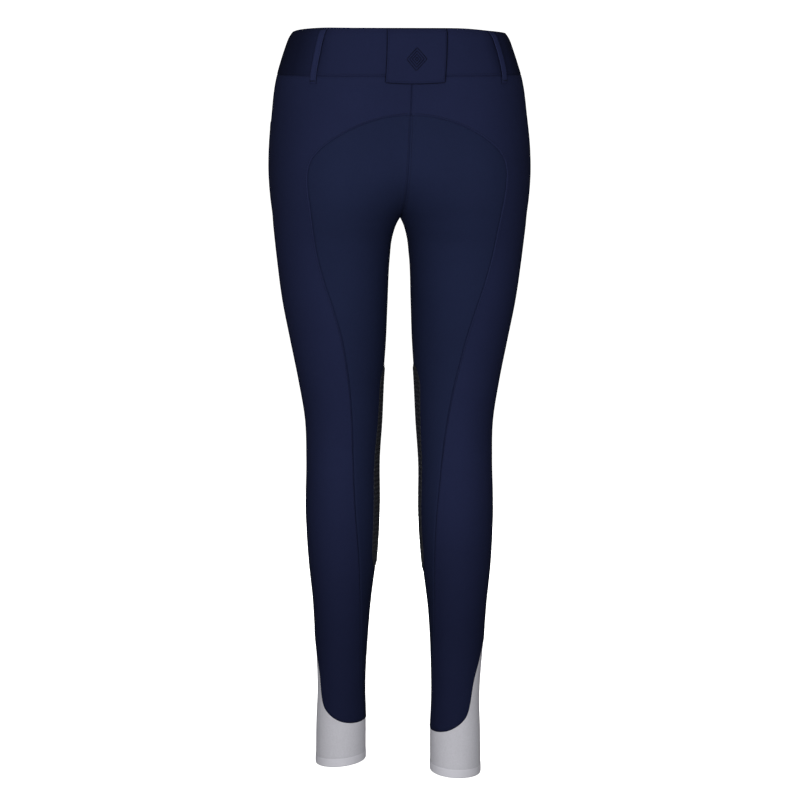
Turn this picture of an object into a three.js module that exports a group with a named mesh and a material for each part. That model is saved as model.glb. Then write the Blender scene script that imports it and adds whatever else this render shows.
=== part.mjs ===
// Riding breeches with a full seat, filled out as if worn, with no wearer.
// Frame: +Z up, the front faces -Y, the wearer's left is +X. The origin is the
// centre of the waist opening, where the wearer holds the garment up.
// Sizes are millimetres. Heights are given as "down", the distance below the waist.
// Places on a leg are given by "angle" in degrees round it: 0 is the outer side,
// 90 the back, -90 the front and 180 or -180 the inner side.

import * as THREE from 'three';

// Cloth walls and the gaps between pieces
const CLOTH = 1.5;
const BAND_WALL = 2.4;
const CUFF_WALL = 1.2;
const GRIP_WALL = 1;
const LOOP_WALL = 1.6;
const HALF_SEAM = 0.15;
const LAYER_GAP = 0.3;

// Levels, as distances below the waist
const WAIST_SEAM = 52;
const CROTCH = 236;
const LEG_END = 911;
const HEM = 973;
const WARP_START = 700;

// Seams round the waist and leg
const SIDE_SEAM = -4;
const SIDE_SEAM_AROUND = 0.525;
const FRONT_FORK_TOP = 120;
const BACK_FORK_TOP = 140;
const VALLEY_WIDTH = 14;
const VALLEY_RISE = 70;

// Slant pocket
const POCKET_MOUTH_ANGLE = -48;
const POCKET_FACING_TUCK = 6;
const POCKET_FACING_GAP = 0.9;

// Fly front, over the centre front seam
const FLY_LEFT_X = 4;
const FLY_RIGHT_X = -36;
const FLY_STRAIGHT_END = 150;
const FLY_END = 184;
const FLY_GAP = 0.8;

// Waistband tab and button
const TAB_AROUND = 1.085;
const TAB_LIFT = BAND_WALL + LAYER_GAP;
const TAB_RAMP_START = 0.9;
const TAB_RAMP_END = 0.975;
const TAB_ROUND = 0.01;
const BUTTON_AROUND = 1.05;
const BUTTON_RADIUS = 8.5;
const BUTTON_RIM = 1.6;
const BUTTON_HEIGHT = 3;

// Belt loops
const LOOP_WIDTH = 9;
const LOOP_BOW = 4;
const LOOP_END = 62;
const BACK_LOOP_AROUND = 0.266;
const FRONT_LOOP_AROUND = 0.78;
const LOOP_TOP_INSET = 0.8;
const WIDE_LOOP_END = 60.5;
const WIDE_LOOP_SAG = 1.6;
const WIDE_LOOP_BOW = 2.2;

// Hem fold and cuffs
const HEM_FOLD = 11;
const HEM_FOLD_RISE = 0.5;
const HEM_INNER_RISE = 5;
const CUFF_SINK = 0.5;

// Knee grip on the inner leg
const GRIP_TOP = 433;
const GRIP_BOTTOM = 703;
const GRIP_ANGLE = 180;
const GRIP_HALF_ANGLE = 26;
const GRIP_CORNER = 26;
const GRIP_GAP = 0.6;

// How finely the walls are divided
const BAND_ROWS = 3;
const DOME_ROWS = 10;
const LEG_ROWS = 26;
const ABOVE_DOME_ROWS = 4;
const FRONT_COLUMNS = 11;
const BACK_COLUMNS = 9;
const SEAT_COLUMNS = 9;
const LEG_ROW_POWER = 1.2;
const SIDE_COLUMN_POWER = 1.3;

const NAVY = 0x20233c;
const BAND_NAVY = 0x1c1f36;
const CUFF_GREY = 0xafaeb8;
const GRIP_GREY = 0x2b2c33;
const METAL_GREY = 0x8d8f96;

// Sections, one row for each level. outer and inner are the half widths from the
// garment's middle plane; front and back are depths at the fullest points, which lie
// frontX and backX out; sideY and innerY are the depths of the outer and inner sides;
// dip is how far the centre back lies inside the fullest back.
const SECTION_COLUMNS = [
  'outer', 'sideY', 'front', 'frontX', 'back', 'backX', 'inner', 'innerY', 'dip',
];
const SECTIONS = splineTable(SECTION_COLUMNS, [
  [-30, 132.0, 2, -92, 30, 93, 30, 0, 12, 0],
  [0, 142.5, 2, -98, 32, 99, 34, 0, 12, 0.5],
  [30, 153.0, 2, -104, 36, 106, 40, 0, 12, 1],
  [56, 160.5, 3, -109, 40, 112, 48, 0, 12, 1.5],
  [106, 167.0, 5, -113, 50, 124, 60, 0, 12, 4],
  [147, 170.5, 8, -111, 60, 133, 70, 0, 12, 6],
  [180, 171.0, 10, -106, 68, 134, 77, 0, 12, 5],
  [210, 169.0, 11, -100, 76, 128, 83, -18, 12, 4],
  [236, 166.0, 12, -95, 81, 117, 86, 0, 12, 1],
  [245, 165.4, 11.5, -94, 82, 113, 86, 4.6, 11.5, 0],
  [262, 163.8, 10, -91, 84, 105, 87, 9.8, 10, 0],
  [290, 160.8, 8, -88, 86, 96, 87, 13, 8, 0],
  [347, 153.5, 3, -84, 84, 86, 84, 15.4, 3, 0],
  [400, 143.3, 0, -78, 80, 77, 80, 17.2, 0, 0],
  [453, 133.0, -3, -72, 77, 68, 77, 20.5, -3, 0],
  [507, 124.8, -4, -66, 74, 61, 74, 23.0, -3, 0],
  [561, 123.9, -2, -59, 75, 60, 76, 27.0, 0, 0],
  [628, 125.5, 6, -50, 76, 67, 77, 27.5, 8, 0],
  [696, 122.3, 9, -42, 77, 63, 77, 31.9, 9, 0],
  [750, 117.1, 9, -35, 78, 56, 78, 38.8, 9, 0],
  [800, 114.3, 12, -28, 79, 52, 79, 43.1, 12, 0],
  [875, 111.3, 17, -20, 79, 53, 79, 46.7, 17, 0],
  [915, 112.8, 19, -19, 79, 57, 79, 45.5, 19, 0],
  [975, 113.6, 20, -22, 79, 63, 79, 45.9, 20, 0],
]);

// Pose, one row for each level: turn about the upright axis in degrees, sway to the
// wearer's left, and stride, by which the left leg comes forward and the right goes back.
const POSE = splineTable(['turn', 'sway', 'stride'], [
  [-30, 0, 0, 0],
  [56, -0.3, 0, 0],
  [106, -1.8, 0, 0],
  [165, -3.4, 0, 0],
  [236, -4, 0, 0],
  [420, -4.5, 0, 3],
  [475, -6.8, 0, 4.5],
  [560, -11.4, 0, 7],
  [620, -13.3, -0.5, 9],
  [700, -13.3, -1, 11],
  [780, -14, -1, 12.2],
  [850, -16.6, -1, 13.2],
  [975, -17.1, -1, 15],
]);

// Top edge of the waistband on either side: 0 is the centre back and 1 the centre front.
const WAIST_TOP = splineTable(['left', 'right'], [
  [0, -8.8, -8.8],
  [0.14, -9.2, -8.4],
  [0.28, -9.5, -5.4],
  [0.4, -7.4, -3],
  [0.5, -4.6, -1],
  [0.7, -0.5, 2.3],
  [1.1, 9, 9],
]);

// Seam between the front leg and the seat piece, from the crotch to the cuff.
const FRONT_INNER_SEAM = splineTable(['angle'], [
  [236, 180],
  [262, 186],
  [300, 196],
  [360, 207],
  [450, 214],
  [560, 214],
  [700, 208],
  [911, 200],
]);

// Top edge of the cuff, by the angle from the outer side: a notch rises up the calf.
const CUFF_EDGE = splineTable(['down'], [
  [0, 790],
  [8, 798],
  [18, 812],
  [26, 825],
  [31.5, 835],
  [35.5, 843],
  [39.5, 854],
  [42, 866],
  [45.5, 877],
  [50, 885.5],
  [55, 891],
  [68, 899],
  [86, 906],
  [105, 910.4],
  [120, 912],
  [180, 912],
]);

// The arched seat seam, from the centre back over the seat and down the back of the leg;
// x is its distance from the middle plane.
const ARCH_SHOULDER_DOWN = 216;
const ARCH_ROWS = [
  { x: HALF_SEAM, down: 100.6 },
  { x: 30, down: 103.7 },
  { x: 54, down: 109.9 },
  { x: 74, down: 117.9 },
  { x: 90, down: 126.6 },
  { x: 105, down: 136.8 },
  { x: 116, down: 147 },
  { x: 123, down: 157.5 },
  { x: 126.7, down: 170.5 },
  { x: 127, down: 185 },
  { x: 125.5, down: 201.5 },
  { x: 123.3, down: ARCH_SHOULDER_DOWN },
  { x: 119.6, down: 240 },
  { x: 113, down: 280 },
  { x: 103, down: 318 },
  { x: 91, down: 354 },
  { x: 80.5, down: 389 },
  { x: 72.5, down: 425 },
  { x: 66.8, down: 455 },
  { x: 61.5, down: 497 },
  { x: 58, down: 540 },
  { x: 55.5, down: 585 },
  { x: 52.3, down: 635 },
  { x: 50, down: 680 },
  { x: 49.2, down: 740 },
  { x: 49.6, down: 800 },
  { x: 49.4, down: 860 },
  { x: 47.6, down: LEG_END },
];

// Returns a smooth curve through the rows: the first number of a row is its key.
function splineTable(columns, rows) {
  const keys = rows.map((row) => row[0]);
  const last = rows.length - 1;
  const slope = (index, column) => {
    const rise = rows[index + 1][column] - rows[index][column];
    return rise / (keys[index + 1] - keys[index]);
  };
  const tangent = (index, column) => {
    if (index === 0) {
      return slope(0, column);
    }
    if (index === last) {
      return slope(last - 1, column);
    }
    const before = keys[index] - keys[index - 1];
    const after = keys[index + 1] - keys[index];
    const weighted = slope(index - 1, column) * after + slope(index, column) * before;
    return weighted / (before + after);
  };
  return (key) => {
    const x = THREE.MathUtils.clamp(key, keys[0], keys[last]);
    let index = 0;
    while (index < last - 1 && x > keys[index + 1]) {
      index += 1;
    }
    const span = keys[index + 1] - keys[index];
    const t = (x - keys[index]) / span;
    const values = {};
    columns.forEach((name, position) => {
      const column = position + 1;
      const start = rows[index][column];
      const end = rows[index + 1][column];
      const startTangent = tangent(index, column) * span;
      const endTangent = tangent(index + 1, column) * span;
      const startWeight = 2 * t ** 3 - 3 * t ** 2 + 1;
      const leave = (t ** 3 - 2 * t ** 2 + t) * startTangent;
      const arrive = (t ** 3 - t ** 2) * endTangent;
      values[name] = startWeight * start + (1 - startWeight) * end + leave + arrive;
    });
    return values;
  };
}

function lerp(start, end, share) {
  return start + (end - start) * share;
}

// How much of a trunk section's depth the two halves share: 1 above the fork's curve,
// falling along a quarter ellipse to 0 at the crotch.
function joinedShare(down, forkTop) {
  const share = THREE.MathUtils.clamp((down - forkTop) / (CROTCH - forkTop), 0, 1);
  return Math.sqrt(1 - share * share);
}

// The section of the left half at one level, with the half axes of its inner quarters.
// Above the crotch the quarters reach past the middle plane, which cuts them off.
function sectionAt(down) {
  const section = SECTIONS(down);
  if (down < CROTCH) {
    const backDepth = section.back - section.innerY;
    const frontJoined = Math.min(joinedShare(down, FRONT_FORK_TOP), 0.9995);
    const backJoined = joinedShare(down, BACK_FORK_TOP) * (1 - section.dip / backDepth);
    const backLimited = Math.min(backJoined, 0.9995);
    section.frontInnerAxis = section.frontX / Math.sqrt(1 - frontJoined ** 2);
    section.backInnerAxis = section.backX / Math.sqrt(1 - backLimited ** 2);
  } else {
    const inner = Math.max(section.inner, HALF_SEAM);
    section.frontInnerAxis = section.frontX - inner;
    section.backInnerAxis = section.backX - inner;
  }
  return section;
}

// The turn from the inner side at which a face reaches a distance x from the middle plane.
function turnAt(x, centreX, innerAxis, outer) {
  const axis = x > centreX ? outer - centreX : innerAxis;
  return THREE.MathUtils.radToDeg(Math.acos(THREE.MathUtils.clamp((centreX - x) / axis, -1, 1)));
}

function frontAngleAt(x, down) {
  const section = sectionAt(down);
  return turnAt(x, section.frontX, section.frontInnerAxis, section.outer) - 180;
}

function backAngleAt(x, down) {
  const section = sectionAt(down);
  return 180 - turnAt(x, section.backX, section.backInnerAxis, section.outer);
}

// A point of the cloth's outer face on the left half, before the pose.
function facePoint(angle, down) {
  const section = sectionAt(down);
  const radians = THREE.MathUtils.degToRad(angle);
  const cosine = Math.cos(radians);
  const sine = Math.sin(radians);
  const isFront = sine < 0;
  const isInner = cosine < 0;
  const centreX = isFront ? section.frontX : section.backX;
  const innerAxis = isFront ? section.frontInnerAxis : section.backInnerAxis;
  const centreY = isInner ? section.innerY : section.sideY;
  const axisX = isInner ? innerAxis : section.outer - centreX;
  const axisY = isFront ? centreY - section.front : section.back - centreY;
  const x = centreX + axisX * cosine;
  let y = centreY + axisY * sine;
  if (isInner && down < CROTCH) {
    const rise = THREE.MathUtils.smoothstep(CROTCH - down, 0, VALLEY_RISE);
    const softX = Math.hypot(x, VALLEY_WIDTH * rise);
    const softCosine = THREE.MathUtils.clamp((centreX - softX) / innerAxis, -1, 1);
    const softSine = Math.sqrt(1 - softCosine ** 2) * (isFront ? -1 : 1);
    if (softX < centreX) {
      y = centreY + axisY * softSine;
    }
  }
  return { x, y };
}

// A point of the outer face on either half, in the pose.
function posedPoint(angle, down, side) {
  const local = facePoint(angle, down);
  const pose = POSE(down);
  const point = new THREE.Vector3(side * local.x + pose.sway, local.y - side * pose.stride, -down);
  return point.applyAxisAngle(UP, THREE.MathUtils.degToRad(pose.turn));
}

const UP = new THREE.Vector3(0, 0, 1);
const ANGLE_STEP = 0.5;
const DOWN_STEP = 1;

// The face's tangents round the leg, per degree, and down it, per millimetre.
function tangentsAt(angle, down, side) {
  const round = posedPoint(angle + ANGLE_STEP, down, side);
  round.sub(posedPoint(angle - ANGLE_STEP, down, side));
  round.divideScalar(2 * ANGLE_STEP);
  const along = posedPoint(angle, down + DOWN_STEP, side);
  along.sub(posedPoint(angle, down - DOWN_STEP, side));
  along.divideScalar(2 * DOWN_STEP);
  return { round, along };
}

// A point moved out from the face along its normal, or in where out is negative.
function clothPoint(angle, down, side, out) {
  const { round, along } = tangentsAt(angle, down, side);
  const normal = along.cross(round).multiplyScalar(side).normalize();
  return posedPoint(angle, down, side).addScaledVector(normal, out);
}

// The level of the cuff's top edge at an angle.
function cuffEdge(angle) {
  const wrapped = Math.abs(THREE.MathUtils.euclideanModulo(angle + 180, 360) - 180);
  return CUFF_EDGE(wrapped).down;
}

// Leg panels are laid out down to a straight end, then drawn up to the cuff's edge.
function warped(angle, down) {
  if (down <= WARP_START) {
    return down;
  }
  const share = (down - WARP_START) / (LEG_END - WARP_START);
  return lerp(WARP_START, cuffEdge(angle), share);
}

// A place round the waist: 0 is the centre back, 1 the centre front on the left side
// and -1 on the right; past the centre front it goes on round to the other side.
function waistPlace(around, down) {
  const wrapped = Math.abs(around) > 1 ? around - 2 * Math.sign(around) : around;
  const side = wrapped < 0 ? -1 : 1;
  const angle = lerp(backAngleAt(0, down), frontAngleAt(0, down), Math.abs(wrapped));
  return { angle, side };
}

function waistPoint(around, down, out) {
  const place = waistPlace(around, down);
  return clothPoint(place.angle, down, place.side, out);
}

function waistTop(around) {
  const top = WAIST_TOP(Math.abs(around));
  return around < 0 ? top.right : top.left;
}

// A closed wall over a grid: pointAt(column, row, layer) gives its outer face as
// layer 0 and its inner face as layer 1. A ring's last column joins its first.
function wallGeometry(columns, rows, pointAt, isRing = false) {
  const across = isRing ? columns : columns + 1;
  const positions = [];
  for (let layer = 0; layer < 2; layer += 1) {
    for (let row = 0; row <= rows; row += 1) {
      for (let column = 0; column < across; column += 1) {
        positions.push(pointAt(column, row, layer));
      }
    }
  }
  const indexOf = (column, row, layer) => {
    return (layer * (rows + 1) + row) * across + (column % across);
  };
  const triangles = [];
  const addTriangle = (a, b, c) => {
    const [first, second, third] = [positions[a], positions[b], positions[c]];
    const edge = new THREE.Vector3().subVectors(second, first);
    const other = new THREE.Vector3().subVectors(third, first);
    const isFlat = edge.lengthSq() < 1e-8 || other.lengthSq() < 1e-8;
    if (!isFlat && second.distanceToSquared(third) > 1e-8) {
      triangles.push(a, b, c);
    }
  };
  const addQuad = (a, b, c, d) => {
    addTriangle(a, b, c);
    addTriangle(a, c, d);
  };
  for (let row = 0; row < rows; row += 1) {
    for (let column = 0; column < columns; column += 1) {
      const corners = [[0, 0], [0, 1], [1, 1], [1, 0]];
      const outer = corners.map(([x, y]) => indexOf(column + x, row + y, 0));
      const inner = corners.map(([x, y]) => indexOf(column + x, row + y, 1));
      addQuad(outer[0], outer[1], outer[2], outer[3]);
      addQuad(inner[3], inner[2], inner[1], inner[0]);
    }
  }
  for (let column = 0; column < columns; column += 1) {
    const next = column + 1;
    addQuad(indexOf(column, 0, 0), indexOf(next, 0, 0), indexOf(next, 0, 1), indexOf(column, 0, 1));
    addQuad(
      indexOf(next, rows, 0),
      indexOf(column, rows, 0),
      indexOf(column, rows, 1),
      indexOf(next, rows, 1),
    );
  }
  for (let row = 0; row < rows && !isRing; row += 1) {
    const next = row + 1;
    addQuad(indexOf(0, next, 0), indexOf(0, row, 0), indexOf(0, row, 1), indexOf(0, next, 1));
    addQuad(
      indexOf(columns, row, 0),
      indexOf(columns, next, 0),
      indexOf(columns, next, 1),
      indexOf(columns, row, 1),
    );
  }
  return outwardGeometry(positions, triangles);
}

// Builds the geometry, turning every face over where the volume comes out negative.
function outwardGeometry(points, triangles) {
  let volume = 0;
  for (let index = 0; index < triangles.length; index += 3) {
    const [a, b, c] = triangles.slice(index, index + 3).map((vertex) => points[vertex]);
    volume += a.dot(new THREE.Vector3().crossVectors(b, c));
  }
  if (volume < 0) {
    triangles.reverse();
  }
  const geometry = new THREE.BufferGeometry();
  const coordinates = points.flatMap((point) => point.toArray());
  geometry.setAttribute('position', new THREE.Float32BufferAttribute(coordinates, 3));
  geometry.setIndex(triangles);
  geometry.computeVertexNormals();
  return geometry;
}

// Moves each point of a seam path a half seam towards the panel that lies at "towards",
// measured on the face.
function insetPath(path, towards, side) {
  return path.map((place, index) => {
    const before = path[Math.max(index - 1, 0)];
    const after = path[Math.min(index + 1, path.length - 1)];
    const { round, along } = tangentsAt(place.angle, place.down, side);
    const roundLength = round.length();
    const alongLength = along.length();
    const tangent = new THREE.Vector2(
      (after.angle - before.angle) * roundLength,
      (after.down - before.down) * alongLength,
    ).normalize();
    const normal = new THREE.Vector2(-tangent.y, tangent.x);
    const inward = new THREE.Vector2(
      (towards[index].angle - place.angle) * roundLength,
      (towards[index].down - place.down) * alongLength,
    );
    if (normal.dot(inward) < 0) {
      normal.negate();
    }
    return {
      angle: place.angle + (normal.x * HALF_SEAM) / roundLength,
      down: place.down + (normal.y * HALF_SEAM) / alongLength,
    };
  });
}

// A leg panel between two seam paths with as many places each.
function legPanel(side, pathA, pathB, columnShares, startsAtPoint = false) {
  const rows = pathA.length - 1;
  const edgeA = insetPath(pathA, pathB, side);
  const edgeB = insetPath(pathB, pathA, side);
  if (startsAtPoint) {
    const tip = { angle: pathB[0].angle, down: pathB[0].down + HALF_SEAM };
    tip.angle -= HALF_SEAM / tangentsAt(tip.angle, tip.down, side).round.length();
    edgeA[0] = tip;
    edgeB[0] = tip;
  }
  const pointAt = (column, row, layer) => {
    const share = columnShares[column];
    const angle = lerp(edgeA[row].angle, edgeB[row].angle, share);
    let down = warped(angle, lerp(edgeA[row].down, edgeB[row].down, share));
    if (row === 0 && !startsAtPoint) {
      down += HALF_SEAM;
    }
    if (row === rows) {
      down -= HALF_SEAM;
    }
    return clothPoint(angle, down, side, layer === 0 ? 0 : -CLOTH);
  };
  return wallGeometry(columnShares.length - 1, rows, pointAt);
}

// Shares of a length in equal steps, raised to a power to set the first steps closer.
function steps(count, power = 1) {
  return Array.from({ length: count + 1 }, (unused, index) => (index / count) ** power);
}

// Places along the arched seam: equal steps over the seat, then down the leg.
function archPath() {
  const keys = [0];
  for (let index = 1; index < ARCH_ROWS.length; index += 1) {
    const reach = ARCH_ROWS[index].x - ARCH_ROWS[index - 1].x;
    const fall = ARCH_ROWS[index].down - ARCH_ROWS[index - 1].down;
    keys.push(keys[index - 1] + Math.hypot(reach, fall));
  }
  const curve = splineTable(['x', 'down'], ARCH_ROWS.map((row, index) => {
    return [keys[index], row.x, row.down];
  }));
  const shoulder = keys[ARCH_ROWS.findIndex((row) => row.down === ARCH_SHOULDER_DOWN)];
  const end = keys[keys.length - 1];
  const domeKeys = steps(DOME_ROWS).map((share) => shoulder * share);
  const legSteps = steps(LEG_ROWS, LEG_ROW_POWER).slice(1);
  const legKeys = legSteps.map((share) => lerp(shoulder, end, share));
  return domeKeys.concat(legKeys).map((key) => {
    const place = curve(key);
    return { angle: backAngleAt(place.x, place.down), down: place.down };
  });
}

const ARCH = archPath();
const ARCH_APEX = ARCH[0].down;
const LEG_STEPS = steps(LEG_ROWS, LEG_ROW_POWER).slice(1);
const FRONT_SHARES = steps(FRONT_COLUMNS, SIDE_COLUMN_POWER);
const BACK_SHARES = steps(BACK_COLUMNS, SIDE_COLUMN_POWER);
const SEAT_SHARES = steps(SEAT_COLUMNS);

// Centre back seam above and below the arch, from the middle plane's half seam.
function centreBack(down) {
  return { angle: backAngleAt(HALF_SEAM, down), down };
}

function centreFront(down) {
  return { angle: frontAngleAt(HALF_SEAM, down), down };
}

// Front inner seam as an angle past 180 for the seat piece; less a turn for the front.
function frontInner(down) {
  return { angle: FRONT_INNER_SEAM(down).angle, down };
}

const SEAT_CENTRE = steps(DOME_ROWS)
  .map((share) => centreBack(lerp(ARCH_APEX, CROTCH, share)))
  .concat(LEG_STEPS.map((share) => frontInner(lerp(CROTCH, LEG_END, share))));

const SIDE_DOME_START = 92;
const SIDE_LEVELS = steps(ABOVE_DOME_ROWS)
  .map((share) => lerp(WAIST_SEAM, SIDE_DOME_START, share))
  .concat(steps(DOME_ROWS).slice(1).map((share) => {
    return lerp(SIDE_DOME_START, ARCH_SHOULDER_DOWN, share);
  }))
  .concat(LEG_STEPS.map((share) => lerp(ARCH_SHOULDER_DOWN, LEG_END, share)));
const SIDE = SIDE_LEVELS.map((down) => ({ angle: SIDE_SEAM, down }));

const BACK_CENTRE = steps(ABOVE_DOME_ROWS)
  .slice(0, -1)
  .map((share) => centreBack(lerp(WAIST_SEAM, ARCH_APEX, share)))
  .concat(ARCH);

// The pocket mouth runs from the waist seam to a station of the side seam.
const POCKET_ROWS = 6;
const POCKET_END = SIDE_LEVELS[POCKET_ROWS];

function pocketMouth(down, tuck = 0) {
  const share = (down - WAIST_SEAM) / (POCKET_END - WAIST_SEAM);
  const slant = THREE.MathUtils.clamp(share, 0, 1) ** 1.25;
  return { angle: lerp(POCKET_MOUTH_ANGLE, SIDE_SEAM, slant) - tuck * (1 - slant), down };
}

const FRONT_SIDE = SIDE.map((place, index) => {
  return index < POCKET_ROWS ? pocketMouth(place.down) : place;
});

const FRONT_UPPER_ROWS = ABOVE_DOME_ROWS + DOME_ROWS;
const FRONT_CENTRE = steps(FRONT_UPPER_ROWS)
  .map((share) => centreFront(lerp(WAIST_SEAM, CROTCH, share)))
  .concat(LEG_STEPS.map((share) => {
    const place = frontInner(lerp(CROTCH, LEG_END, share));
    return { angle: place.angle - 360, down: place.down };
  }));

// The facing lies under the front leg's mouth edge and fills the corner behind it.
function pocketFacing(side) {
  const columns = 5;
  const edgeA = insetPath(SIDE.slice(0, POCKET_ROWS + 1), FRONT_CENTRE, side);
  const depth = CLOTH + POCKET_FACING_GAP;
  const pointAt = (column, row, layer) => {
    const limit = row === POCKET_ROWS ? POCKET_END - POCKET_FACING_TUCK : SIDE_LEVELS[row];
    const tucked = pocketMouth(limit, POCKET_FACING_TUCK);
    const angle = lerp(edgeA[row].angle, tucked.angle, column / columns);
    const down = limit + (row === 0 ? HALF_SEAM : 0);
    return clothPoint(angle, down, side, layer === 0 ? -depth : -depth - CLOTH);
  };
  return wallGeometry(columns, POCKET_ROWS, pointAt);
}

// The angles of the columns of one panel along its lower edge, but for the last.
function edgeAngles(start, end, columnShares) {
  return columnShares.slice(0, -1).map((share) => lerp(start, end, share));
}

// The elastic cuff, with the hem's fold a little prouder. Its columns meet those of the
// panels above, so that both follow one edge.
function cuff(side) {
  const backEnd = ARCH[ARCH.length - 1].angle;
  const frontEnd = FRONT_CENTRE[FRONT_CENTRE.length - 1].angle;
  const frontAngles = edgeAngles(SIDE_SEAM, frontEnd, FRONT_SHARES);
  const angles = edgeAngles(SIDE_SEAM, backEnd, BACK_SHARES)
    .concat(edgeAngles(backEnd, frontEnd + 360, SEAT_SHARES))
    .concat(frontAngles.slice(1).concat(frontEnd).reverse());
  const levels = [
    { share: 0, rise: 0 },
    { share: 0.33, rise: 0 },
    { share: 0.66, rise: 0 },
    { share: 1, rise: 0 },
    { fold: HEM_FOLD - 1, rise: HEM_FOLD_RISE },
    { fold: 0, rise: HEM_FOLD_RISE },
  ];
  const pointAt = (column, row, layer) => {
    const angle = angles[column];
    const innerShare = (1 - Math.cos(THREE.MathUtils.degToRad(angle))) / 2;
    const hem = HEM - HEM_INNER_RISE * innerShare;
    const top = cuffEdge(angle) + HALF_SEAM;
    const level = levels[row];
    const down = 'fold' in level ? hem - level.fold : lerp(top, hem - HEM_FOLD, level.share);
    const out = layer === 0 ? level.rise - CUFF_SINK : -CUFF_SINK - CUFF_WALL;
    return clothPoint(angle, down, side, out);
  };
  return wallGeometry(angles.length, levels.length - 1, pointAt, true);
}

// The knee grip lies on the seat piece, with its corners rounded.
function kneeGrip(side) {
  const columns = 9;
  const rows = 12;
  const pointAt = (column, row, layer) => {
    const down = lerp(GRIP_TOP, GRIP_BOTTOM, row / rows);
    const toEnd = Math.min(down - GRIP_TOP, GRIP_BOTTOM - down);
    const bite = Math.max(1 - toEnd / GRIP_CORNER, 0);
    const half = GRIP_HALF_ANGLE - 12 * bite ** 2;
    const angle = lerp(GRIP_ANGLE - half, GRIP_ANGLE + half, column / columns);
    return clothPoint(angle, down, side, GRIP_GAP + (layer === 0 ? GRIP_WALL : 0));
  };
  return wallGeometry(columns, rows, pointAt);
}

// A stretch of waistband between two places round the waist.
function waistband(start, end, columns, liftAt = () => 0, endRound = 0) {
  const pointAt = (column, row, layer) => {
    const across = row / BAND_ROWS;
    const rounding = endRound * (1 - (2 * across - 1) ** 2) * Math.sign(end);
    const around = lerp(start, end + rounding, column / columns);
    const down = lerp(waistTop(around), WAIST_SEAM - HALF_SEAM, across);
    return waistPoint(around, down, liftAt(around) - (layer === 0 ? 0 : BAND_WALL));
  };
  return wallGeometry(columns, BAND_ROWS, pointAt);
}

function tabLift(around) {
  const share = THREE.MathUtils.smoothstep(Math.abs(around), TAB_RAMP_START, TAB_RAMP_END);
  return TAB_LIFT * share;
}

// How far round the waist one millimetre is, at a place on the band.
function aroundPerMillimetre(around, down) {
  const step = 0.01;
  const before = waistPoint(around - step, down, 0);
  return (2 * step) / before.distanceTo(waistPoint(around + step, down, 0));
}

// The height of a loop over the band: seated at both ends, bowed between them.
function bowed(share, bow) {
  return LAYER_GAP + bow * Math.sin(Math.PI * share) ** 0.7;
}

function narrowLoop(around) {
  const columns = 2;
  const rows = 12;
  const top = waistTop(around) + LOOP_TOP_INSET;
  const pointAt = (column, row, layer) => {
    const share = row / rows;
    const down = lerp(top, LOOP_END, share);
    const offset = (column / columns - 0.5) * LOOP_WIDTH * aroundPerMillimetre(around, down);
    const out = bowed(share, LOOP_BOW) + (layer === 0 ? LOOP_WALL : 0);
    return waistPoint(around + offset, down, out);
  };
  return wallGeometry(columns, rows, pointAt);
}

// The wide loop's side edges lean: they are given at its top and at its lower edge.
const WIDE_LOOP_EDGES = { topLeft: 30, topRight: -46.5, endLeft: 34.5, endRight: -41.8 };

function backPoint(x, down, out) {
  const side = x < 0 ? -1 : 1;
  return clothPoint(backAngleAt(Math.abs(x), down), down, side, out);
}

function frontPoint(x, down, out) {
  const side = x < 0 ? -1 : 1;
  return clothPoint(frontAngleAt(Math.abs(x), down), down, side, out);
}

function wideLoop() {
  const columns = 8;
  const rows = 10;
  const top = waistTop(0) + LOOP_TOP_INSET;
  const pointAt = (column, row, layer) => {
    const across = column / columns;
    const share = row / rows;
    const topX = lerp(WIDE_LOOP_EDGES.topLeft, WIDE_LOOP_EDGES.topRight, across);
    const endX = lerp(WIDE_LOOP_EDGES.endLeft, WIDE_LOOP_EDGES.endRight, across);
    const end = WIDE_LOOP_END + WIDE_LOOP_SAG * (1 - (2 * across - 1) ** 2);
    const out = bowed(share, WIDE_LOOP_BOW) + (layer === 0 ? LOOP_WALL : 0);
    return backPoint(lerp(topX, endX, share), lerp(top, end, share), out);
  };
  return wallGeometry(columns, rows, pointAt);
}

// The fly front is straight at the top and ends in a J.
function flyFront() {
  const columns = 6;
  const rows = 12;
  const pointAt = (column, row, layer) => {
    const down = lerp(WAIST_SEAM + HALF_SEAM, FLY_END, row / rows);
    const past = Math.max(down - FLY_STRAIGHT_END, 0) / (FLY_END - FLY_STRAIGHT_END);
    const right = lerp(0, FLY_RIGHT_X, Math.sqrt(1 - Math.min(past, 1) ** 2));
    const x = lerp(FLY_LEFT_X, right, column / columns);
    return frontPoint(x, down, FLY_GAP + (layer === 0 ? CLOTH : 0));
  };
  return wallGeometry(columns, rows, pointAt);
}

// The button is a shallow dish with a rim, turned about its own axis.
function waistButton() {
  const profile = [
    [0, 0],
    [BUTTON_RADIUS - 1, 0],
    [BUTTON_RADIUS, 1],
    [BUTTON_RADIUS, BUTTON_HEIGHT - 0.6],
    [BUTTON_RADIUS - 0.6, BUTTON_HEIGHT],
    [BUTTON_RADIUS - BUTTON_RIM, BUTTON_HEIGHT],
    [BUTTON_RADIUS - BUTTON_RIM - 0.6, BUTTON_HEIGHT - 0.7],
    [0, BUTTON_HEIGHT - 0.7],
  ];
  return new THREE.LatheGeometry(profile.map(([x, y]) => new THREE.Vector2(x, y)), 24);
}

function addMesh(group, name, geometry, color, roughness = 0.85, metalness = 0) {
  const material = new THREE.MeshStandardMaterial({ color, roughness, metalness });
  const mesh = new THREE.Mesh(geometry, material);
  mesh.name = name;
  group.add(mesh);
  return mesh;
}

const breeches = new THREE.Group();

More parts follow.
